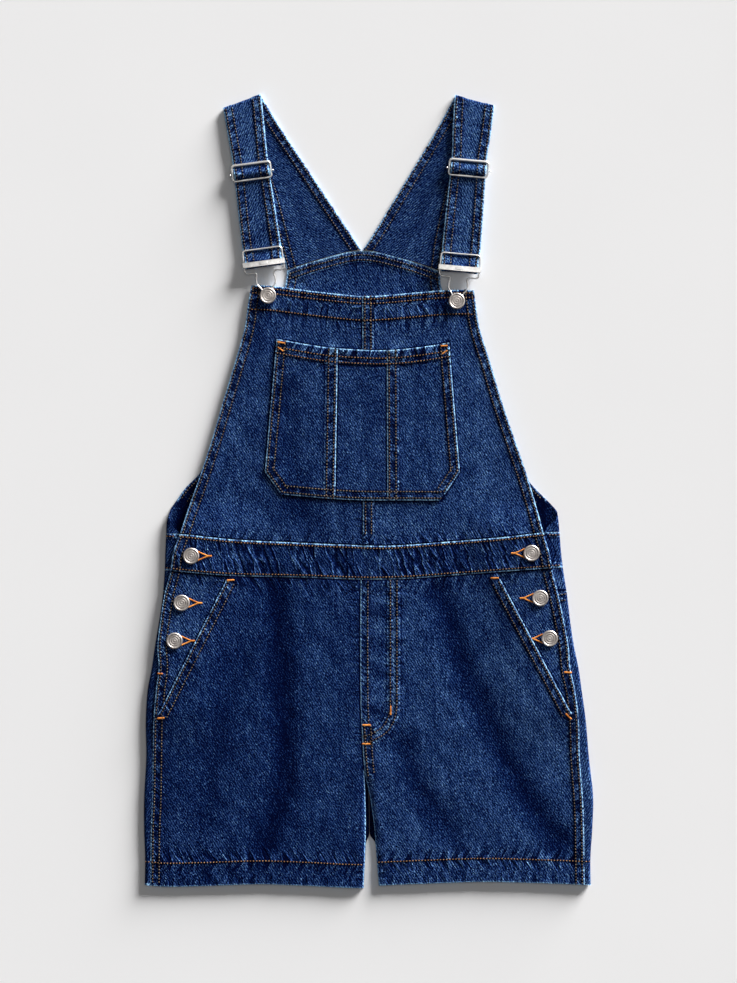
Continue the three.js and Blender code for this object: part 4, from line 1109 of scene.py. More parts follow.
def front_legs():
    hem = dict(band=HEM_DEPTH + 1, pucker=0.34, reach=20, period=13)
    above_hem = dict(pucker=0.75, reach=11, period=7, slant=-0.5)
    for side in SIDES:
        sign = SIGN[side]
        start = shifted(front_inner[side], sign * SEAM / 2)
        outer = lambda y, side=side: leg_outer(side, y)
        grid = panel_grid(start, outer, hem_line, shifted(waist_bottom, -SEAM / 2), 226, 321)
        x, y = grid[..., 0], grid[..., 1]
        hem_ends = (-6, -229) if side == "left" else (11, 227)
        waist_ends = (-8, 1.02 * SLANT[side]["top"][0])
        slant_low = SLANT[side]["bottom"][1] - 2
        centre = line_up(front_inner[side], -411, CROTCH_Y - 5)
        fly = line_up(front_inner[side], CROTCH_Y - 5, -92)
        mouth = line_up(lambda v, side=side: slant_at(side, v), slant_low, -92)
        seams = [
            sewn(line_across(hem_line, *hem_ends), (HEM_DEPTH,), "tan", **hem),
            sewn(line_across(shifted(hem_line, HEM_DEPTH), *hem_ends), worn=False, **above_hem),
            # Painted shade in the crease under the waistband's lower edge.
            tucked_with_painted_shade(line_across(waist_bottom, *waist_ends), pucker=0.5, reach=16, period=8, slant=0.6),
            sewn(mouth, SIDE_ROWS, band=9.8, pucker=0.45, reach=14, period=10, slant=0.4),
            sewn(line_up(edge[side], -409, slant_low), SIDE_ROWS, reach=15, **SIDE_SEAM),
            sewn(centre, worn=True, pucker=0.12, reach=10),
        ]
        if side == "right":
            seams.append(sewn(fly, band=9, pucker=0.25, reach=12, period=10))
            facing_row = line_up(shifted(front_inner[side], 7.8), -243, -93)
            seams.append(sewn(facing_row, (0.01,), worn=False))
            fly_row = smooth_line(FLY_CURVE)
            inner_row = offset_line(inside(fly_row, (0, -150)), FLY_GAP)
            for row in (fly_row, inner_row):
                seams.append(sewn(row, (0.01,), worn=False, band=3.4, pucker=0.4, reach=7, period=9))
            join = line_up(shifted(front_inner[side], 3.3), -296, -243)
            seams.append(sewn(join, (0.01, 6.4), worn=False, band=7.5, pucker=0.2))
        else:
            # Painted shade beside the fly's edge on the left leg.
            seams.append(tucked_with_painted_shade(fly, pucker=0.25, reach=12, period=10))
        cloth = leg_cloth(x, y)
        tone = -0.19 if side == "left" else 0.02
        calm = np.where(np.abs(x - front_inner[side](y)) < 3, 0.5, 1.0)
        finish_cloth(f"front_leg_{side}", grid, leg_top(side, x, y), cloth, seams, tone, calm)


def smooth_line(points):
    """A rounded line through a short list of points."""
    points = np.asarray(points, float)
    length = np.concatenate([[0], np.cumsum(np.hypot(*np.diff(points, axis=0).T))])
    at = np.linspace(0, length[-1], 90)
    line = np.stack([np.interp(at, length, points[:, k]) for k in (0, 1)], -1)
    for _ in range(6):
        line[1:-1] = (line[:-2] + 2 * line[1:-1] + line[2:]) / 4
    return line


def pocket_facings():
    for side in SIDES:
        sign = SIGN[side]
        start = lambda y, side=side: slant_at(side, y) - SIGN[side] * FACING_UNDER
        end = shifted(edge[side], -sign * SEAM / 2)
        bottom = lambda x: np.full_like(np.asarray(x, float), FACING_BOTTOM_Y)
        grid = panel_grid(start, end, bottom, shifted(waist_bottom, -SEAM / 2), 60, 148)
        x, y = grid[..., 0], grid[..., 1]
        mouth = line_up(lambda v, side=side: slant_at(side, v), -226, -90)
        top_ends = (SLANT[side]["top"][0], edge[side](-82.0))
        seams = [
            sewn(line_up(edge[side], -234, -83), SIDE_ROWS, reach=22, **SIDE_SEAM),
            # Painted shade along the pocket's mouth, under the leg's slanted edge, and under the
            # waistband.
            tucked_with_painted_shade(mouth, pucker=0.2),
            tucked_with_painted_shade(line_across(waist_bottom, *top_ends), pucker=0.5, reach=20, slant=0.5),
        ]
        under = np.minimum(1, np.maximum(0, 1 - (np.abs(x - start(y)) - FACING_UNDER + 2) / 4))
        calm = 1 - ease(under)
        finish_cloth(f"pocket_facing_{side}", grid, front_top(x, y) - LAYER, CLOTH, seams, 0.08, calm)


def underlaps():
    for side in SIDES:
        sign = SIGN[side]
        start = shifted(edge[side], -sign * (WRAP_UNDER + SEAM))
        end = shifted(edge[side], -sign * UNDERLAP_WIDTH)
        bottom = lambda x: np.full_like(np.asarray(x, float), OPENING_BOTTOM_Y)
        grid = spread(start, end, bottom, shifted(waist_bottom, -SEAM / 2), steps(23, 4), steps(104, 4))
        y = grid[..., 1]
        seams = [sewn(line_up(end, OPENING_BOTTOM_Y, -84), (3,), "tan")]
        finish_cloth(f"underlap_{side}", grid, 2 * fold_radius(y), CLOTH, seams, -0.05, 0.0)


# The back, which goes round the side folds


FLOOR_COLUMNS = 56  # of a sheet of the back between its two ends


def side_fold(side, under):
    reach = lambda y: fold[side](y) - SIGN[side] * fold_radius(y)
    level = lambda y: SIGN[side] * (reach(y) - edge[side](y))
    wrap = lambda y: math.pi * fold_radius(y) + level(y) - SEAM / 2 + under(y)
    return dict(reach=reach, wrap=wrap)


def opening_under(y):
    return (WRAP_UNDER + SEAM / 2) * ease((y - OPENING_BOTTOM_Y + 8) / 8)


def back_sheet(name, left, right, bottom, top, cloth, rows, seams, tone=0.0):
    """A sheet of the back between two ends. An end is either the line it stops at on the floor,
    or a side fold with the length of cloth that goes round it and over the top."""
    ends = {"left": left, "right": right}
    kinds = []
    for side in SIDES:
        if "reach" in ends[side]:
            turned = [(side, "arc", t) for t in np.linspace(0, 1, 11)[1:]]
            turned += [(side, "over", t) for t in np.linspace(0, 1, 9)[1:]]
            kinds += turned[::-1] if side == "left" else turned
        if side == "left":
            kinds += [("", "floor", t) for t in np.linspace(0, 1, FLOOR_COLUMNS)]
    stop = {s: e.get("line") or e["reach"] for s, e in ends.items()}
    y = np.zeros((len(rows), len(kinds)))
    v = np.asarray(rows)[:, None] + 0 * y
    x = np.zeros_like(y)
    for _ in range(8):
        y = mix(bottom(x), top(x), v)
        columns = []
        for j, (side, kind, t) in enumerate(kinds):
            yj = y[:, j]
            if kind == "floor":
                columns.append([mix(stop["left"](yj), stop["right"](yj), t), 0 * yj, 0 * yj])
                continue
            radius, wrap = fold_radius(yj), ends[side]["wrap"](yj)
            bend = np.minimum(math.pi * radius, 0.85 * wrap)
            s = bend * t if kind == "arc" else mix(bend, wrap, t)
            turn = np.clip(s / radius, 0, math.pi)
            over = np.maximum(0, s - math.pi * radius)
            out = radius * np.sin(turn) - over
            columns.append([ends[side]["reach"](yj) + SIGN[side] * out, turn, s])
        x, turn, s = (np.stack([c[k] for c in columns], -1) for k in range(3))
    sign = np.array([SIGN.get(side, 0) for side, _, _ in kinds])[None, :]
    radius = fold_radius(y)
    z = np.where(sign == 0, 0, radius - radius * np.cos(turn))
    # The way out of the cloth: down on the floor, sideways in the fold, up on the top.
    normal = np.stack([sign * np.sin(turn), 0 * x, -np.cos(turn)], -1)
    reach = np.where(sign < 0, stop["left"](y), stop["right"](y))
    flat = np.stack([np.where(sign == 0, x, reach + sign * s), y], -1)
    fields, lift, soft = seam_fields(name, flat, seams)
    lift = lift + 0.7 * fields["pucker"]
    up = ease(turn / math.pi * 2 - 1)
    outer = np.stack([x, y, z], -1)
    inner = outer - normal * cloth(x, y)[..., None]
    outer = outer + normal * (up * np.clip(lift, -0.4, 1))[..., None]
    fields["tone_and_painted_shade"] = tone + 0.2 * soft
    inner = inner - normal * ((1 - up) * np.clip(lift, -0.4, 0.9) * (turn < 0.5))[..., None]
    piece = two_sided(name, outer, inner, fields, flat)
    keep_cloth(piece, name, outer)
    return piece


def back_half(side, under):
    centre = dict(line=shifted(back_inner[side], SIGN[side] * SEAM / 2))
    around = side_fold(side, under)
    return (around, centre) if side == "left" else (centre, around)


def back_stitch(piece, points, rows, thread_name):
    """Rows of stitches on a back piece, along a line seen from above."""
    for row in rows:
        stitch_rows.append((piece, np.asarray(points) + (0, row), thread_name, ABOVE_ALL))


def back_legs():
    for side in SIDES:
        left, right = back_half(side, opening_under)
        top = shifted(yoke_seam, -SEAM / 2)
        far = 1.1 * fold[side](-300.0) + SIGN[side] * 12
        seams = [
            sewn(line_across(hem_line, 0, far), worn=True, band=HEM_DEPTH + 1, pucker=0.35, reach=24),
            sewn(line_across(yoke_seam, 0, far), worn=True, band=9.6, pucker=0.15, reach=14),
        ]
        # Painted shade on the back legs in the slot between the front legs.
        slot = line_up(shifted(front_inner[side], SIGN[side] * 2), -411, CROTCH_Y - 8)
        seams.append(sewn(slot, worn=False, dark=12))
        tone = -0.12 if side == "left" else 0.12
        rows = steps(305, 4)
        piece = back_sheet(f"back_leg_{side}", left, right, hem_line, top, leg_cloth, rows, seams, tone)
        out = line_across(hem_line, edge[side](-390.0), fold[side](-390.0))
        back_stitch(piece, out, (HEM_DEPTH,), "tan")
        fell = line_across(yoke_seam, edge[side](-103.0), fold[side](-103.0))
        back_stitch(piece, fell, (-2.6, -9), "brown")


def flat_cloth(thickness):
    return lambda x, y: np.full_like(np.asarray(x, float), thickness)


def back_yokes():
    for side in SIDES:
        left, right = back_half(side, opening_under)
        far = 1.2 * fold[side](-100.0)
        # Painted shade along the yoke seam and under the waistband's lower edge.
        seams = [
            tucked_with_painted_shade(line_across(yoke_seam, 0, far)),
            tucked_with_painted_shade(line_across(waist_bottom, 0, far), pucker=0.3),
        ]
        bottom, top = shifted(yoke_seam, SEAM / 2), shifted(waist_bottom, -SEAM / 2)
        rows = steps(36, 4)
        tone = -0.05 if side == "left" else 0.1
        back_sheet(f"back_yoke_{side}", left, right, bottom, top, flat_cloth(CLOTH), rows, seams, tone)


def back_waistband():
    ends = [side_fold(side, lambda y: BAND_UNDER) for side in SIDES]
    crimp = dict(pucker=0.5, reach=24, period=9, slant=0.5)
    seams = [
        sewn(line_across(waist_top, -250, 250), band=5, **crimp),
        sewn(line_across(waist_bottom, -250, 250), band=5, **crimp),
    ]
    bottom = shifted(waist_bottom, SEAM / 2)
    cloth = flat_cloth(DOUBLED)
    piece = back_sheet("back_waistband", *ends, bottom, waist_top, cloth, steps(38, 3), seams)
    for side in SIDES:
        ends_x = (edge[side](-60.0), fold[side](-60.0))
        back_stitch(piece, line_across(waist_top, *ends_x), (-2.6,), "tan")
        back_stitch(piece, line_across(waist_bottom, *ends_x), (2.6,), "tan")


def back_bib():
    ends = []
    for side in SIDES:
        reach = curve(BACK_BIB, "y", side)
        ends.append(dict(reach=reach, wrap=straight(BACK_BIB, "y", f"wrap_{side}")))
    sides = {s: curve(BACK_BIB, "y", s) for s in SIDES}
    seams = [
        sewn(line_across(back_bib_top, -84, 74), band=11.5, pucker=0.6, reach=20, period=8),
        sewn(line_up(sides["left"], -10, 230), band=9.6, pucker=0.15),
        sewn(line_up(sides["right"], -10, 228), band=9.6, pucker=0.15),
        # Painted shade under the waistband's top edge.
        tucked_with_painted_shade(line_across(waist_top, -208, 196), pucker=0.4, reach=14),
    ]
    # Painted shadow of the front bib's sides in the armholes.
    for side in SIDES:
        seams.append(sewn(line_up(bib_side[side], -44, 40), worn=False, dark=8))
    rows = steps(300, 4)
    bottom, cloth = shifted(waist_top, SEAM), flat_cloth(CLOTH)
    piece = back_sheet("back_bib", *ends, bottom, back_bib_top, cloth, rows, seams)
    back_stitch(piece, line_across(back_bib_top, -83, 73), (-4.2, -9.4), "brown")
    for line in sides.values():
        edge_line = inside(line_up(line, -6, 226), (0, 100))
        for row in SIDE_ROWS:
            stitch_rows.append((piece, offset_line(edge_line, row), "brown", ABOVE_ALL))


# Straps


def strap_frame(side):
    hook = HOOKS[side]
    last = {k: v[-1] for k, v in STRAP_BACK[side].items()}
    inner = np.array([last["inner_x"], last["inner_y"]])
    outer = np.array([last["outer_x"], last["outer_y"]])
    button = np.array([hook["x"], hook["y"]])
    run = (inner + outer) / 2 - button
    length = np.hypot(*run)
    up = run / length
    across = np.array([up[1], -up[0]])
    width = inner - outer

    def at(a, u, z):
        a, u = np.asarray(a, float)[..., None], np.asarray(u, float)[..., None]
        flat = button + a * across + u * up
        height = np.broadcast_to(np.asarray(z, float)[..., None], flat.shape[:-1] + (1,))
        return np.concatenate([flat, height], -1)

    return dict(
        at=at,
        up=up,
        length=length,
        half=abs(width @ across) / 2,
        skew=(width @ up) / (width @ across),
        slider=hook["slider"],
        towards_inner=np.sign(width @ across),
    )


def strap_path(f):
    """Rows of a strap after its shoulder fold: the way up, the height and half the width."""
    top = STRAP_CLOTH / 2 + 2 * SHOULDER_RADIUS
    loop = BAR_RADIUS + STRAP_CLEAR + STRAP_CLOTH / 2
    ring = SLIDER_BAR_RADIUS + STRAP_CLEAR + STRAP_CLOTH / 2

    def around(centre, z, radius, start, end, half):
        turn = np.radians(np.linspace(start, end, 9))
        return [(centre + radius * math.cos(a), z + radius * math.sin(a), half) for a in turn]

    def rows(t):
        return [
            (up + on * f["slider"], z, half)
            for on, up, z, half in zip(t["on_slider"], t["up"], t["z"], t["half"])
        ]

    length = f["length"]
    path = [
        (length - below, top + rise, f["half"] - narrower)
        for below, rise, narrower in zip(STRAP_TOP["below"], STRAP_TOP["rise"], STRAP_TOP["narrower"])
    ]
    path += rows(STRAP_DOWN)
    path += around(BAR_UP, WIRE_Z, loop, 90, 270, STRAP_AT_BUCKLE)
    path += rows(STRAP_RETURN)
    path += around(f["slider"], SLIDER_BAR_Z, ring, -90, 95, STRAP_AT_SLIDER)
    return np.array(path)


def refine(rows, spacing):
    """Adds rows between rows, straight from one to the next, for long steps."""
    out = [rows[0]]
    for a, b in zip(rows[:-1], rows[1:]):
        count = max(1, int(np.hypot(b[0] - a[0], b[1] - a[1]) / spacing))
        out += [mix(a, b, k / count) for k in range(1, count + 1)]
    return np.array(out)


def straps():
    for side in SIDES:
        f = strap_frame(side)
        back = STRAP_BACK[side]
        at = np.linspace(0, 1, 48)
        knots = np.linspace(0, 1, len(back["inner_x"]))
        read = lambda column: curve({"t": knots, "c": back[column]}, "t", "c")(at)
        inner = np.stack([read("inner_x"), read("inner_y"), 0 * at + STRAP_CLOTH / 2], -1)
        outer = np.stack([read("outer_x"), read("outer_y"), 0 * at + STRAP_CLOTH / 2], -1)
        normals = np.tile([0.0, 0.0, -1.0], (len(at), 1))
        last_in, last_out = inner[-1], outer[-1]
        away = last_in - last_out
        away /= np.linalg.norm(away)
        away = np.array([-away[1], away[0], 0]) * np.sign(away[0])
        turns = np.linspace(-math.pi / 2, math.pi / 2, 12)[1:-1]
        bend = np.cos(turns)[:, None] * away + np.sin(turns)[:, None] * np.array([0, 0, 1.0])
        moved = SHOULDER_RADIUS * bend + np.array([0, 0, SHOULDER_RADIUS])
        path = refine(strap_path(f), 4.0)
        up, z, half = path.T
        slope = np.stack([np.gradient(up), np.gradient(z)], -1)
        slope /= np.maximum(np.hypot(*slope.T), 1e-9)[:, None]
        # Outwards is up on the way down, and turns with the path.
        lean = slope[:, 1]
        front_normal = lean[:, None] * np.append(f["up"], 0) - slope[:, :1] * np.array([0, 0, 1.0])
        skew = f["skew"] * ease(1 - (f["length"] - up) / STRAP_SQUARE)
        reach = half * f["towards_inner"]
        front_in = f["at"](reach, up + reach * skew, z)
        front_out = f["at"](-reach, up - reach * skew, z)
        inner = np.concatenate([inner, last_in + moved, front_in])
        outer = np.concatenate([outer, last_out + moved, front_out])
        normals = np.concatenate([normals, bend, front_normal])
        count = len(at)
        columns = steps(38, 2.4)
        t = columns[None, :, None]
        middle = mix(outer[:, None], inner[:, None], t)
        base = back_bib_top(middle[0, :, 0]) + STRAP_BASE_GAP
        middle[0, :, 1] = base
        width = np.linalg.norm(inner - outer, axis=1)
        run = np.linalg.norm(np.diff((inner + outer) / 2, axis=0), axis=1)
        along = np.concatenate([[0], np.cumsum(run)])
        across = (columns[None, :] - 0.5) * width[:, None]
        flat = np.stack([across, along[:, None] + 0 * across], -1)
        from_edge = np.minimum(columns, 1 - columns)[None, :] * width[:, None]
        name = f"strap_{side}"
        sides_run = [np.stack([s * width / 2, along], -1) for s in (-1, 1)]
        seams = [sewn(run, band=10, pucker=0.4, reach=13, period=12) for run in sides_run]
        # Painted shade across the strap where it leaves the back bib.
        seams.append(tucked_with_painted_shade([[-40, 0], [40, 0]]))
        fields, lift, soft = seam_fields(name, flat, seams)
        lift = np.clip(lift + 0.6 * fields["pucker"], -0.4, 0.8)
        front = (np.arange(len(inner)) >= count)[:, None]
        fields["tone_and_painted_shade"] = np.where(front, 0.24, 0.02) + 0.15 * soft
        half_cloth = STRAP_CLOTH / 2
        rim = np.maximum(1 - from_edge / ROUND, 0) ** 2 * 0.45
        n = normals[:, None, :]
        top_face = middle + n * (half_cloth - rim + np.where(front, lift, 0))[..., None]
        low_face = middle - n * (half_cloth - rim + np.where(front, 0, lift))[..., None]
        piece = two_sided(name, top_face, low_face, fields, flat)
        keep_cloth(piece, name, middle)
        strap_stitches(piece, inner, outer, width, count)


def strap_stitches(piece, inner, outer, width, count):
    """Two rows along each edge, on the inside of the back run and the outside of the front run."""
    for from_edge in SIDE_ROWS:
        for a, b in ((inner, outer), (outer, inner)):
            share = (from_edge / width)[:, None]
            line = mix(a, b, share)
            stitch_rows.append((piece, line[:count, :2], "brown", BELOW_FRONT_RUN))
            shown = [i for i in range(count + 7, len(line)) if line[i, 2] > RETURN_TOP]
            stop = next((k for k in range(1, len(shown)) if shown[k] != shown[k - 1] + 1), len(shown))
            stitch_rows.append((piece, line[shown[:stop], :2], "brown", ABOVE_ALL))


# Metal


def rounded_loop(points, count):
    """A smooth closed line in space through a few points, at even steps."""
    points = np.asarray(points, float)
    points = np.concatenate([points[-2:], points, points[:3]])
    key = np.arange(len(points), dtype=float)
    at = np.linspace(2, len(points) - 3, count + 1)[:-1]
    return np.stack([curve({"t": key, "c": points[:, k]}, "t", "c")(at) for k in range(3)], -1)


def tube(line, radius, closed, flat_way=(0, 0, 1)):
    """Points and faces of a round wire along a line. An open wire gets rounded ends."""
    sides = TUBE_SIDES
    line = np.asarray(line, float)
    radius = np.broadcast_to(radius, (len(line),)).astype(float)
    if not closed:
        start, end = line[0], line[-1]
        out_start = (start - line[1]) / np.linalg.norm(start - line[1])
        out_end = (end - line[-2]) / np.linalg.norm(end - line[-2])
        caps = (0.95, 0.75, 0.4)
        before = [start + out_start * radius[0] * c for c in caps]
        after = [end + out_end * radius[-1] * c for c in caps[::-1]]
        line = np.concatenate([before, line, after])
        thin = [radius[0] * math.sqrt(1 - c * c) for c in caps]
        radius = np.concatenate([thin, radius, thin[::-1]])
        tangent = np.gradient(line, axis=0)
    else:
        tangent = np.roll(line, -1, 0) - np.roll(line, 1, 0)
    tangent /= np.linalg.norm(tangent, axis=1)[:, None]
    aside = np.cross(tangent, flat_way)
    aside /= np.linalg.norm(aside, axis=1)[:, None]
    above = np.cross(aside, tangent)
    turn = np.linspace(0, 2 * math.pi, sides, endpoint=False)
    ring = np.cos(turn)[None, :, None] * aside[:, None] + np.sin(turn)[None, :, None] * above[:, None]
    points = (line[:, None] + ring * radius[:, None, None]).reshape(-1, 3)
    count = len(line)
    i = np.arange(count if closed else count - 1)[:, None]
    j = np.arange(sides)[None, :]
    at = lambda a, b: (a % count) * sides + b % sides
    faces = np.stack([at(i, j), at(i, j + 1), at(i + 1, j + 1), at(i + 1, j)], -1).reshape(-1, 4)
    if closed:
        return points, faces
    ends = [(np.arange(sides)[::-1], 0), (np.arange(sides), (count - 1) * sides)]
    for order, first in ends:
        loop = order + first
        fan = [(loop[0], loop[k], loop[k + 1], loop[k + 1]) for k in range(1, sides - 1)]
        faces = np.concatenate([faces, fan])
    return points, faces


def join_shells(name, shells):
    """One mesh object from several closed shells, each turned to face out."""
    scratch = bpy.data.meshes.new(name)
    points, faces = [], []
    for shell_points, shell_faces in shells:
        a, b, c = (shell_points[shell_faces[:, k]] for k in (0, 1, 2))
        d = shell_points[shell_faces[:, 3]]
        volume = np.einsum("ij,ij->", a, np.cross(b, c)) + np.einsum("ij,ij->", a, np.cross(c, d))
        turned = shell_faces if volume > 0 else shell_faces[:, ::-1]
        faces += [tuple(dict.fromkeys((f + sum(map(len, points))).tolist())) for f in turned]
        points.append(np.asarray(shell_points))
    scratch.from_pydata((np.concatenate(points) * MM).tolist(), [], faces)
    scratch.update()
    scratch.shade_smooth()
    scratch.set_sharp_from_angle(angle=math.radians(40))
    return new_object(name, scratch)


def dress_metal(piece, finish, node):
    piece.data.materials.append(finish)
    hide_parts(node)
    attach(piece, "root")


def turned_shell(profile, x, y):
    """A shell turned round an upright axis at x and y, from radius and height pairs."""
    sides = BUTTON_SIDES
    radius, height = np.array(profile, float).T
    turn = np.linspace(0, 2 * math.pi, sides, endpoint=False)
    ring = np.stack([np.cos(turn), np.sin(turn)], -1)
    flat = radius[:, None, None] * ring[None]
    z = np.broadcast_to(height[:, None, None], flat.shape[:2] + (1,))
    points = np.concatenate([flat + (x, y), z], -1).reshape(-1, 3)
    i, j = np.arange(len(radius) - 1)[:, None], np.arange(sides)[None, :]
    at = lambda a, b: a * sides + b % sides
    faces = np.stack([at(i, j), at(i, j + 1), at(i + 1, j + 1), at(i + 1, j)], -1).reshape(-1, 4)
    for first in (0, (len(radius) - 1) * sides):
        fan = [(first, first + k, first + k + 1, first + k + 1) for k in range(1, sides - 1)]
        faces = np.concatenate([faces, fan if first else [f[::-1] for f in fan]])
    return points, faces


# A shank button's cap: a rolled rim, then shallow rings round a small boss.
BUTTON_PROFILE = (
    (7.3, 0.0), (8.1, 0.25), (8.5, 0.8), (8.5, 1.4), (8.2, 1.95), (7.7, 2.3), (7.2, 2.35),
    (6.8, 2.2), (6.4, 1.85), (5.9, 1.7), (5.5, 1.85), (5.1, 2.1), (4.7, 2.12), (4.3, 1.9),
    (3.9, 1.75), (3.4, 1.78), (3.0, 2.0), (2.6, 2.12), (2.2, 2.0), (1.8, 1.82), (1.4, 1.88),
    (0.9, 2.06), (0.3, 2.14),
)


def buttons():
    for side in SIDES:
        hook = HOOKS[side]
        x, y = hook["x"], hook["y"]
        top = float(front_top(np.array(x), np.array(y)))
        places = [(f"bib_button_{side}", x, y, top + SEAM, WIRE_Z + WIRE_RADIUS + SEAM)]
        for i, (bx, by) in enumerate(SIDE_BUTTONS[side]):
            cloth_top = float(front_top(np.array(bx), np.array(by))) - (LAYER if i else 0)
            foot = 2 * float(fold_radius(by)) + SEAM
            places.append((f"side_button_{side}_{i + 1}", bx, by, foot, cloth_top + SEAM))
        for name, bx, by, foot, cap in places:
            profile = [(2.2, foot), (2.2, cap)] + [(r, cap + rise) for r, rise in BUTTON_PROFILE]
            piece = join_shells(name + "_turned", [turned_shell(profile, bx, by)])
            dress_metal(piece, nickel, name)


def block_shell(f, a, up, z, soft=0.35):
    """A block with rounded edges in a strap's frame, from low and high limits each way."""
    made = bmesh.new()
    bmesh.ops.create_cube(made, size=1)
    centre = [(low + high) / 2 for low, high in (a, up, z)]
    size = [high - low for low, high in (a, up, z)]
    for v in made.verts:
        v.co = Vector([c + s * k for c, s, k in zip(centre, size, v.co)])
    bmesh.ops.bevel(
        made,
        geom=made.edges[:],
        offset=min(soft, min(size) * 0.45),
        segments=3,
        profile=0.6,
        affect="EDGES",
    )
    made.verts.index_update()
    local = np.array([v.co for v in made.verts])
    points = f["at"](local[:, 0], local[:, 1], local[:, 2])
    faces = [[v.index for v in face.verts] for face in made.faces]
    made.free()
    quads = []
    for face in faces:
        quads += [(face[0], face[k], face[k + 1], face[k + 1]) for k in range(1, len(face) - 1)]
    return points, np.array(quads)


def buckles():
    for side in SIDES:
        f = strap_frame(side)
        half = [(a, up) for a, up in BUCKLE_HALF]
        other = [(-a, up) for a, up in BUCKLE_HALF[1:-1][::-1]]
        a, up = np.array(half + other, float).T
        loop = rounded_loop(f["at"](a, up, np.full(len(a), WIRE_Z)), 180)
        bar = f["at"](np.linspace(-20.2, 20.2, 12), np.full(12, BAR_UP), np.full(12, WIRE_Z))
        shells = [tube(loop, WIRE_RADIUS, True), tube(bar, BAR_RADIUS, False)]
        name = f"buckle_wire_{side}"
        dress_metal(join_shells(name + "_bent", shells), steel, name)

        low, high = PLATE_UP - 2.7, PLATE_UP + 2.7
        z = PLATE_Z
        shells = [block_shell(f, (-PLATE_HALF, PLATE_HALF), (low, high), (z, z + 0.7))]
        for sign in (-1, 1):
            ends = sorted((sign * (PLATE_HALF - 0.65), sign * PLATE_HALF))
            shells.append(block_shell(f, ends, (low, high), (5.9, z + 0.6), 0.25))
        # The folded lip along the lower edge, and the tongue that is pressed in the middle.
        lip, tongue = (low, low + 1.7), (low + 1.2, high - 1.2)
        shells.append(block_shell(f, (-21.6, 21.6), lip, (z + 0.5, z + 1.25), 0.3))
        shells.append(block_shell(f, (-4.2, 4.2), tongue, (z + 0.4, z + 1.4), 0.45))
        name = f"buckle_plate_{side}"
        dress_metal(join_shells(name + "_folded", shells), steel, name)


def sliders():
    for side in SIDES:
        f = strap_frame(side)
        middle = f["slider"] + SLIDER_SHIFT
        a, up = [], []
        for way, start in (((1, 1), 90), ((1, -1), 0), ((-1, -1), -90), ((-1, 1), -180)):
            for t in np.linspace(0, 1, 8):
                turn = math.radians(start - 90 * t)
                a.append(way[0] * (SLIDER_HALF - SLIDER_CORNER) + SLIDER_CORNER * math.cos(turn))
                up.append(way[1] * (SLIDER_RISE - SLIDER_CORNER) + SLIDER_CORNER * math.sin(turn))
        a, up = np.array(a), np.array(up)
        radius = mix(SLIDER_RADIUS, SLIDER_TOP_RADIUS, ease((up - 4) / 4))
        loop = f["at"](a, middle + up, np.full(len(a), SLIDER_Z))
        name = f"slider_frame_{side}"
        piece = join_shells(name + "_bent", [tube(loop, radius, True)])
        dress_metal(piece, steel, name)
        reach, z = SLIDER_BAR_HALF, SLIDER_BAR_Z
        half_path = [(1 - reach, z), (-reach, z + 1.4), (-reach, SLIDER_BAR_END_Z)]
        path = half_path[::-1] + [(-a, height) for a, height in half_path]
        across, height = np.array(path).T
        line = f["at"](across, np.full(len(path), float(f["slider"])), height)
        name = f"slider_bar_{side}"
        shells = [tube(line, SLIDER_BAR_RADIUS, False, tuple(np.append(f["up"], 0)))]
        dress_metal(join_shells(name + "_bent", shells), steel, name)


# Stitches


def tree_of(piece):
    return BVHTree.FromPolygons(
        [v.co[:] for v in piece.data.vertices], [p.vertices[:] for p in piece.data.polygons]
    )


DOWN = Vector((0, 0, -1))


def place_stitches():
    """Puts each row on its piece, seen from above, and leaves out what another piece covers."""
    trees = {name: tree_of(piece) for name, piece in surfaces.items()}
    by_piece = {piece.name: trees[name] for name, piece in surfaces.items()}
    placed = {}

    def put(piece, points, runs, kind, length, from_z):
        own = by_piece[piece.name]
        for (x, y), run in zip(points, runs):
            start = Vector((x * MM, y * MM, from_z * MM))
            hit, normal, _, _ = own.ray_cast(start, DOWN)
            if hit is None or normal.z < 0.2:
                continue
            above = Vector((x * MM, y * MM, 0.1))
            tops = (tree.ray_cast(above, DOWN)[0] for tree in trees.values())
            if max((top.z for top in tops if top), default=0) > hit.z + 0.0002:
                continue
            run = Vector((run[0], run[1], 0)).normalized()
            run = (run - normal * run.dot(normal)).normalized()
            placed.setdefault(kind, []).append((hit, normal, run, length))

    for piece, line, kind, from_z in stitch_rows:
        points, runs = resample(line, STITCH_PITCH)
        put(piece, points, runs, kind, STITCH_LENGTH, from_z)
        # Between the stitches go near-black pieces of painted shadow in the needle holes.
        put(piece, (points[1:] + points[:-1]) / 2, runs[1:], "hole", HOLE_LENGTH, from_z)
    for name, start, end, wide in TACKS:
        points, runs = resample([start, end], TACK_PITCH)
        put(surfaces[name], points, runs[:, ::-1] * (1, -1), "orange", wide, ABOVE_ALL)
    for side in SIDES:
        inward = -SIGN[side]
        names = ("front_waistband", f"pocket_facing_{side}", f"pocket_facing_{side}")
        for name, (x, y) in zip(names, SIDE_BUTTONS[side]):
            tail = (x + inward * 17.5, y + 0.12 * inward * SIGN[side])
            for leg in (-1, 1):
                points, runs = resample([(x + inward * 7, y + leg * 4.6), tail], TACK_PITCH)
                put(surfaces[name], points, runs[:, ::-1] * (1, -1), "orange", EYE_THREAD, ABOVE_ALL)
            points, runs = resample([tail, (tail[0] + inward * 3.6, tail[1])], TACK_PITCH)
            put(surfaces[name], points, runs[:, ::-1] * (1, -1), "orange", EYE_TACK, ABOVE_ALL)
    return placed


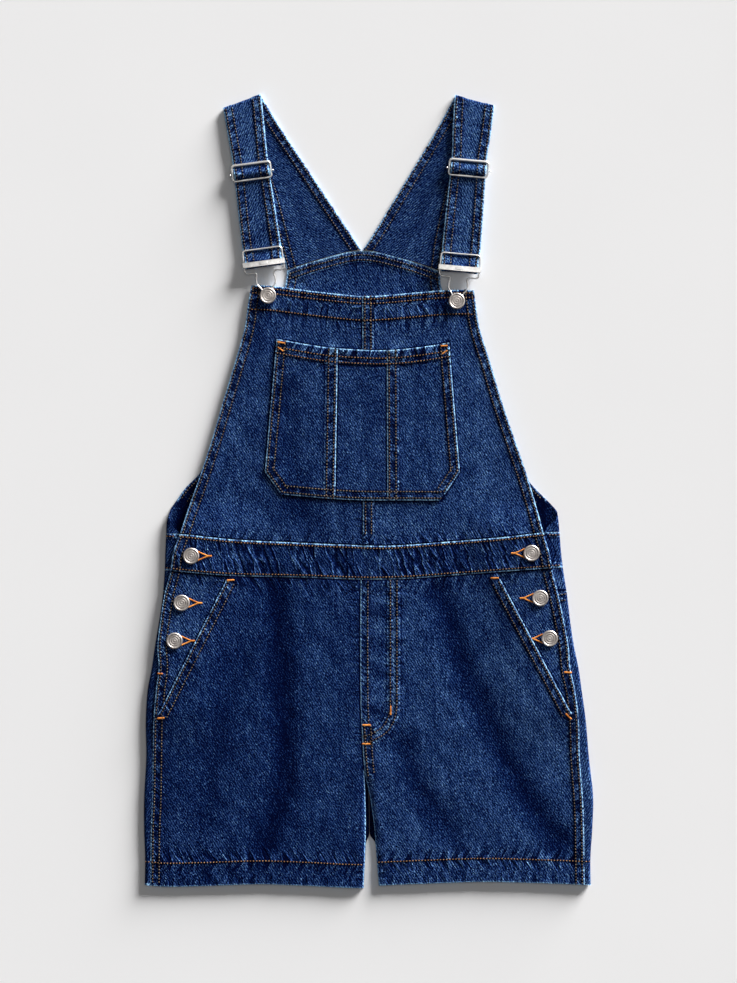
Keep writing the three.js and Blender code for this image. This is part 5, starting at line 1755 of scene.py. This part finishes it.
# Bartacks, each from one point to another, with its width.
TACKS = (
    ("pocket_facing_left", (-219.4, -189.6), (-213.8, -189.8), 2.1),
    ("pocket_facing_right", (203.4, -188.2), (211.8, -188.6), 2.1),
    ("front_leg_left", (-147.0, -92.8), (-139.6, -92.4), 2.1),
    ("front_leg_right", (127.0, -90.6), (134.8, -90.4), 2.1),
    ("front_leg_left", (-219.0, -236.1), (-212.5, -235.6), 2.1),
    ("front_leg_right", (204.8, -231.2), (210.6, -236.9), 2.1),
    ("front_leg_right", (-6.2, -243.3), (2.1, -243.3), 2.1),
    ("front_leg_right", (-6.4, -262.8), (1.5, -262.8), 2.1),
    ("front_leg_right", (23.0, -223.3), (23.0, -232.6), 1.9),
    ("bib_pocket_left", (-94.6, 154.9), (-86.8, 153.6), 1.9),
    ("bib_pocket_left", (-94.2, 149.6), (-88.8, 145.6), 1.7),
    ("bib_pocket_right", (82.0, 151.2), (75.0, 150.6), 1.9),
    ("bib_pocket_right", (81.8, 146.2), (76.6, 142.4), 1.7),
)


def stitch_tree(finish):
    """Sets a rounded stitch on each point, lying along its run and standing on its normal."""
    tree = bpy.data.node_groups.new("stitches", "GeometryNodeTree")
    face = tree.interface
    face.new_socket("Geometry", in_out="INPUT", socket_type="NodeSocketGeometry")
    width = face.new_socket("Width", in_out="INPUT", socket_type="NodeSocketFloat")
    height = face.new_socket("Height", in_out="INPUT", socket_type="NodeSocketFloat")
    face.new_socket("Geometry", in_out="OUTPUT", socket_type="NodeSocketGeometry")
    add = partial(add_node, tree)
    given = add("NodeGroupInput").node.outputs
    read = {}
    for name, kind in (("run", "FLOAT_VECTOR"), ("stand", "FLOAT_VECTOR"), ("long", "FLOAT")):
        read[name] = add("GeometryNodeInputNamedAttribute", {"Name": name}, data_type=kind)
    ball = add("GeometryNodeMeshUVSphere", {"Segments": 6, "Rings": 5, "Radius": 0.5})
    inputs = {"Primary Axis": read["stand"], "Secondary Axis": read["run"]}
    turn = add("FunctionNodeAxesToRotation", inputs, primary_axis="Z", secondary_axis="X")
    size = add("ShaderNodeCombineXYZ", (read["long"], given["Width"], given["Height"]))
    inputs = {"Points": given["Geometry"], "Instance": ball, "Rotation": turn, "Scale": size}
    placed = add("GeometryNodeInstanceOnPoints", inputs)
    real = add("GeometryNodeRealizeInstances", {"Geometry": placed})
    done = add("GeometryNodeSetMaterial", {"Geometry": real, "Material": finish})
    add("NodeGroupOutput", {"Geometry": done})
    return tree, width.identifier, height.identifier


def make_stitches():
    for kind, stitches in place_stitches().items():
        mesh = bpy.data.meshes.new(f"{kind}_stitch_points")
        lift = THREAD_RADIUS * (0.6 if kind == "hole" else 0.5) * MM
        mesh.from_pydata([tuple(hit + normal * lift) for hit, normal, _, _ in stitches], [], [])
        fields = {"run": [s[2] for s in stitches], "stand": [s[1] for s in stitches]}
        for name, values in fields.items():
            data = mesh.attributes.new(name, "FLOAT_VECTOR", "POINT").data
            data.foreach_set("vector", np.array(values, float).ravel())
        long = mesh.attributes.new("long", "FLOAT", "POINT").data
        long.foreach_set("value", np.array([s[3] * MM for s in stitches]))
        holder = new_object(f"{kind}_stitch_points", mesh)
        tree, width, height = stitch_tree(THREADS[kind])
        modifier = holder.modifiers.new("stitches", "NODES")
        modifier.node_group = tree
        modifier[width] = (3.4 if kind == "hole" else 2.6) * THREAD_RADIUS * MM
        modifier[height] = (1.1 if kind == "hole" else 1.7) * THREAD_RADIUS * MM
        shaped = holder.evaluated_get(bpy.context.evaluated_depsgraph_get())
        result = bpy.data.meshes.new_from_object(shaped)
        bpy.data.objects.remove(holder)
        result.shade_smooth()
        piece = new_object(f"stitching_{kind}", result)
        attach(piece, "root")


# Stage


def studio():
    bpy.ops.mesh.primitive_plane_add(size=6, location=(0, 0, -0.0002))
    floor = bpy.context.object
    floor.name = "floor"
    floor.data.materials.append(paper())
    lamp = bpy.data.lights.new("key_light", "SUN")
    lamp.energy = KEY_POWER
    lamp.angle = math.radians(KEY_SPREAD)
    key = new_object("key_light", lamp)
    height, way = math.radians(KEY_HEIGHT), math.radians(KEY_WAY)
    flat = math.cos(height)
    towards = Vector((flat * math.cos(way), flat * math.sin(way), math.sin(height)))
    key.rotation_euler = towards.to_track_quat("Z", "Y").to_euler()
    key.location = towards * 2
    lamp = bpy.data.lights.new("overhead_softbox", "AREA")
    lamp.energy = OVERHEAD_POWER
    lamp.size = 1.5
    overhead = new_object("overhead_softbox", lamp)
    overhead.location = (0.3, 0.4, 3.6)
    overhead.rotation_euler = Vector(overhead.location).to_track_quat("Z", "Y").to_euler()
    world = bpy.data.worlds.new("soft_room")
    world.use_nodes = True
    sky = world.node_tree.nodes["Background"]
    sky.inputs["Color"].default_value = colour("#f8f8f8")
    sky.inputs["Strength"].default_value = SKY_POWER
    bpy.context.scene.world = world
    lens = bpy.data.cameras.new("photo_camera")
    lens.sensor_fit = "HORIZONTAL"
    lens.sensor_width = FILM
    lens.lens = FILM * CAMERA_HEIGHT / PHOTO_WIDTH
    lens.clip_end = 20
    camera = new_object("photo_camera", lens)
    camera.location = (0, -0.0005, (CAMERA_HEIGHT + 5) * MM)
    bpy.context.scene.camera = camera
    bpy.context.scene.view_settings.view_transform = "Standard"


front_bibs()
bib_pockets()
front_waistband()
front_legs()
pocket_facings()
underlaps()
back_legs()
back_yokes()
back_waistband()
back_bib()
straps()
buckles()
sliders()
buttons()
make_stitches()
studio()
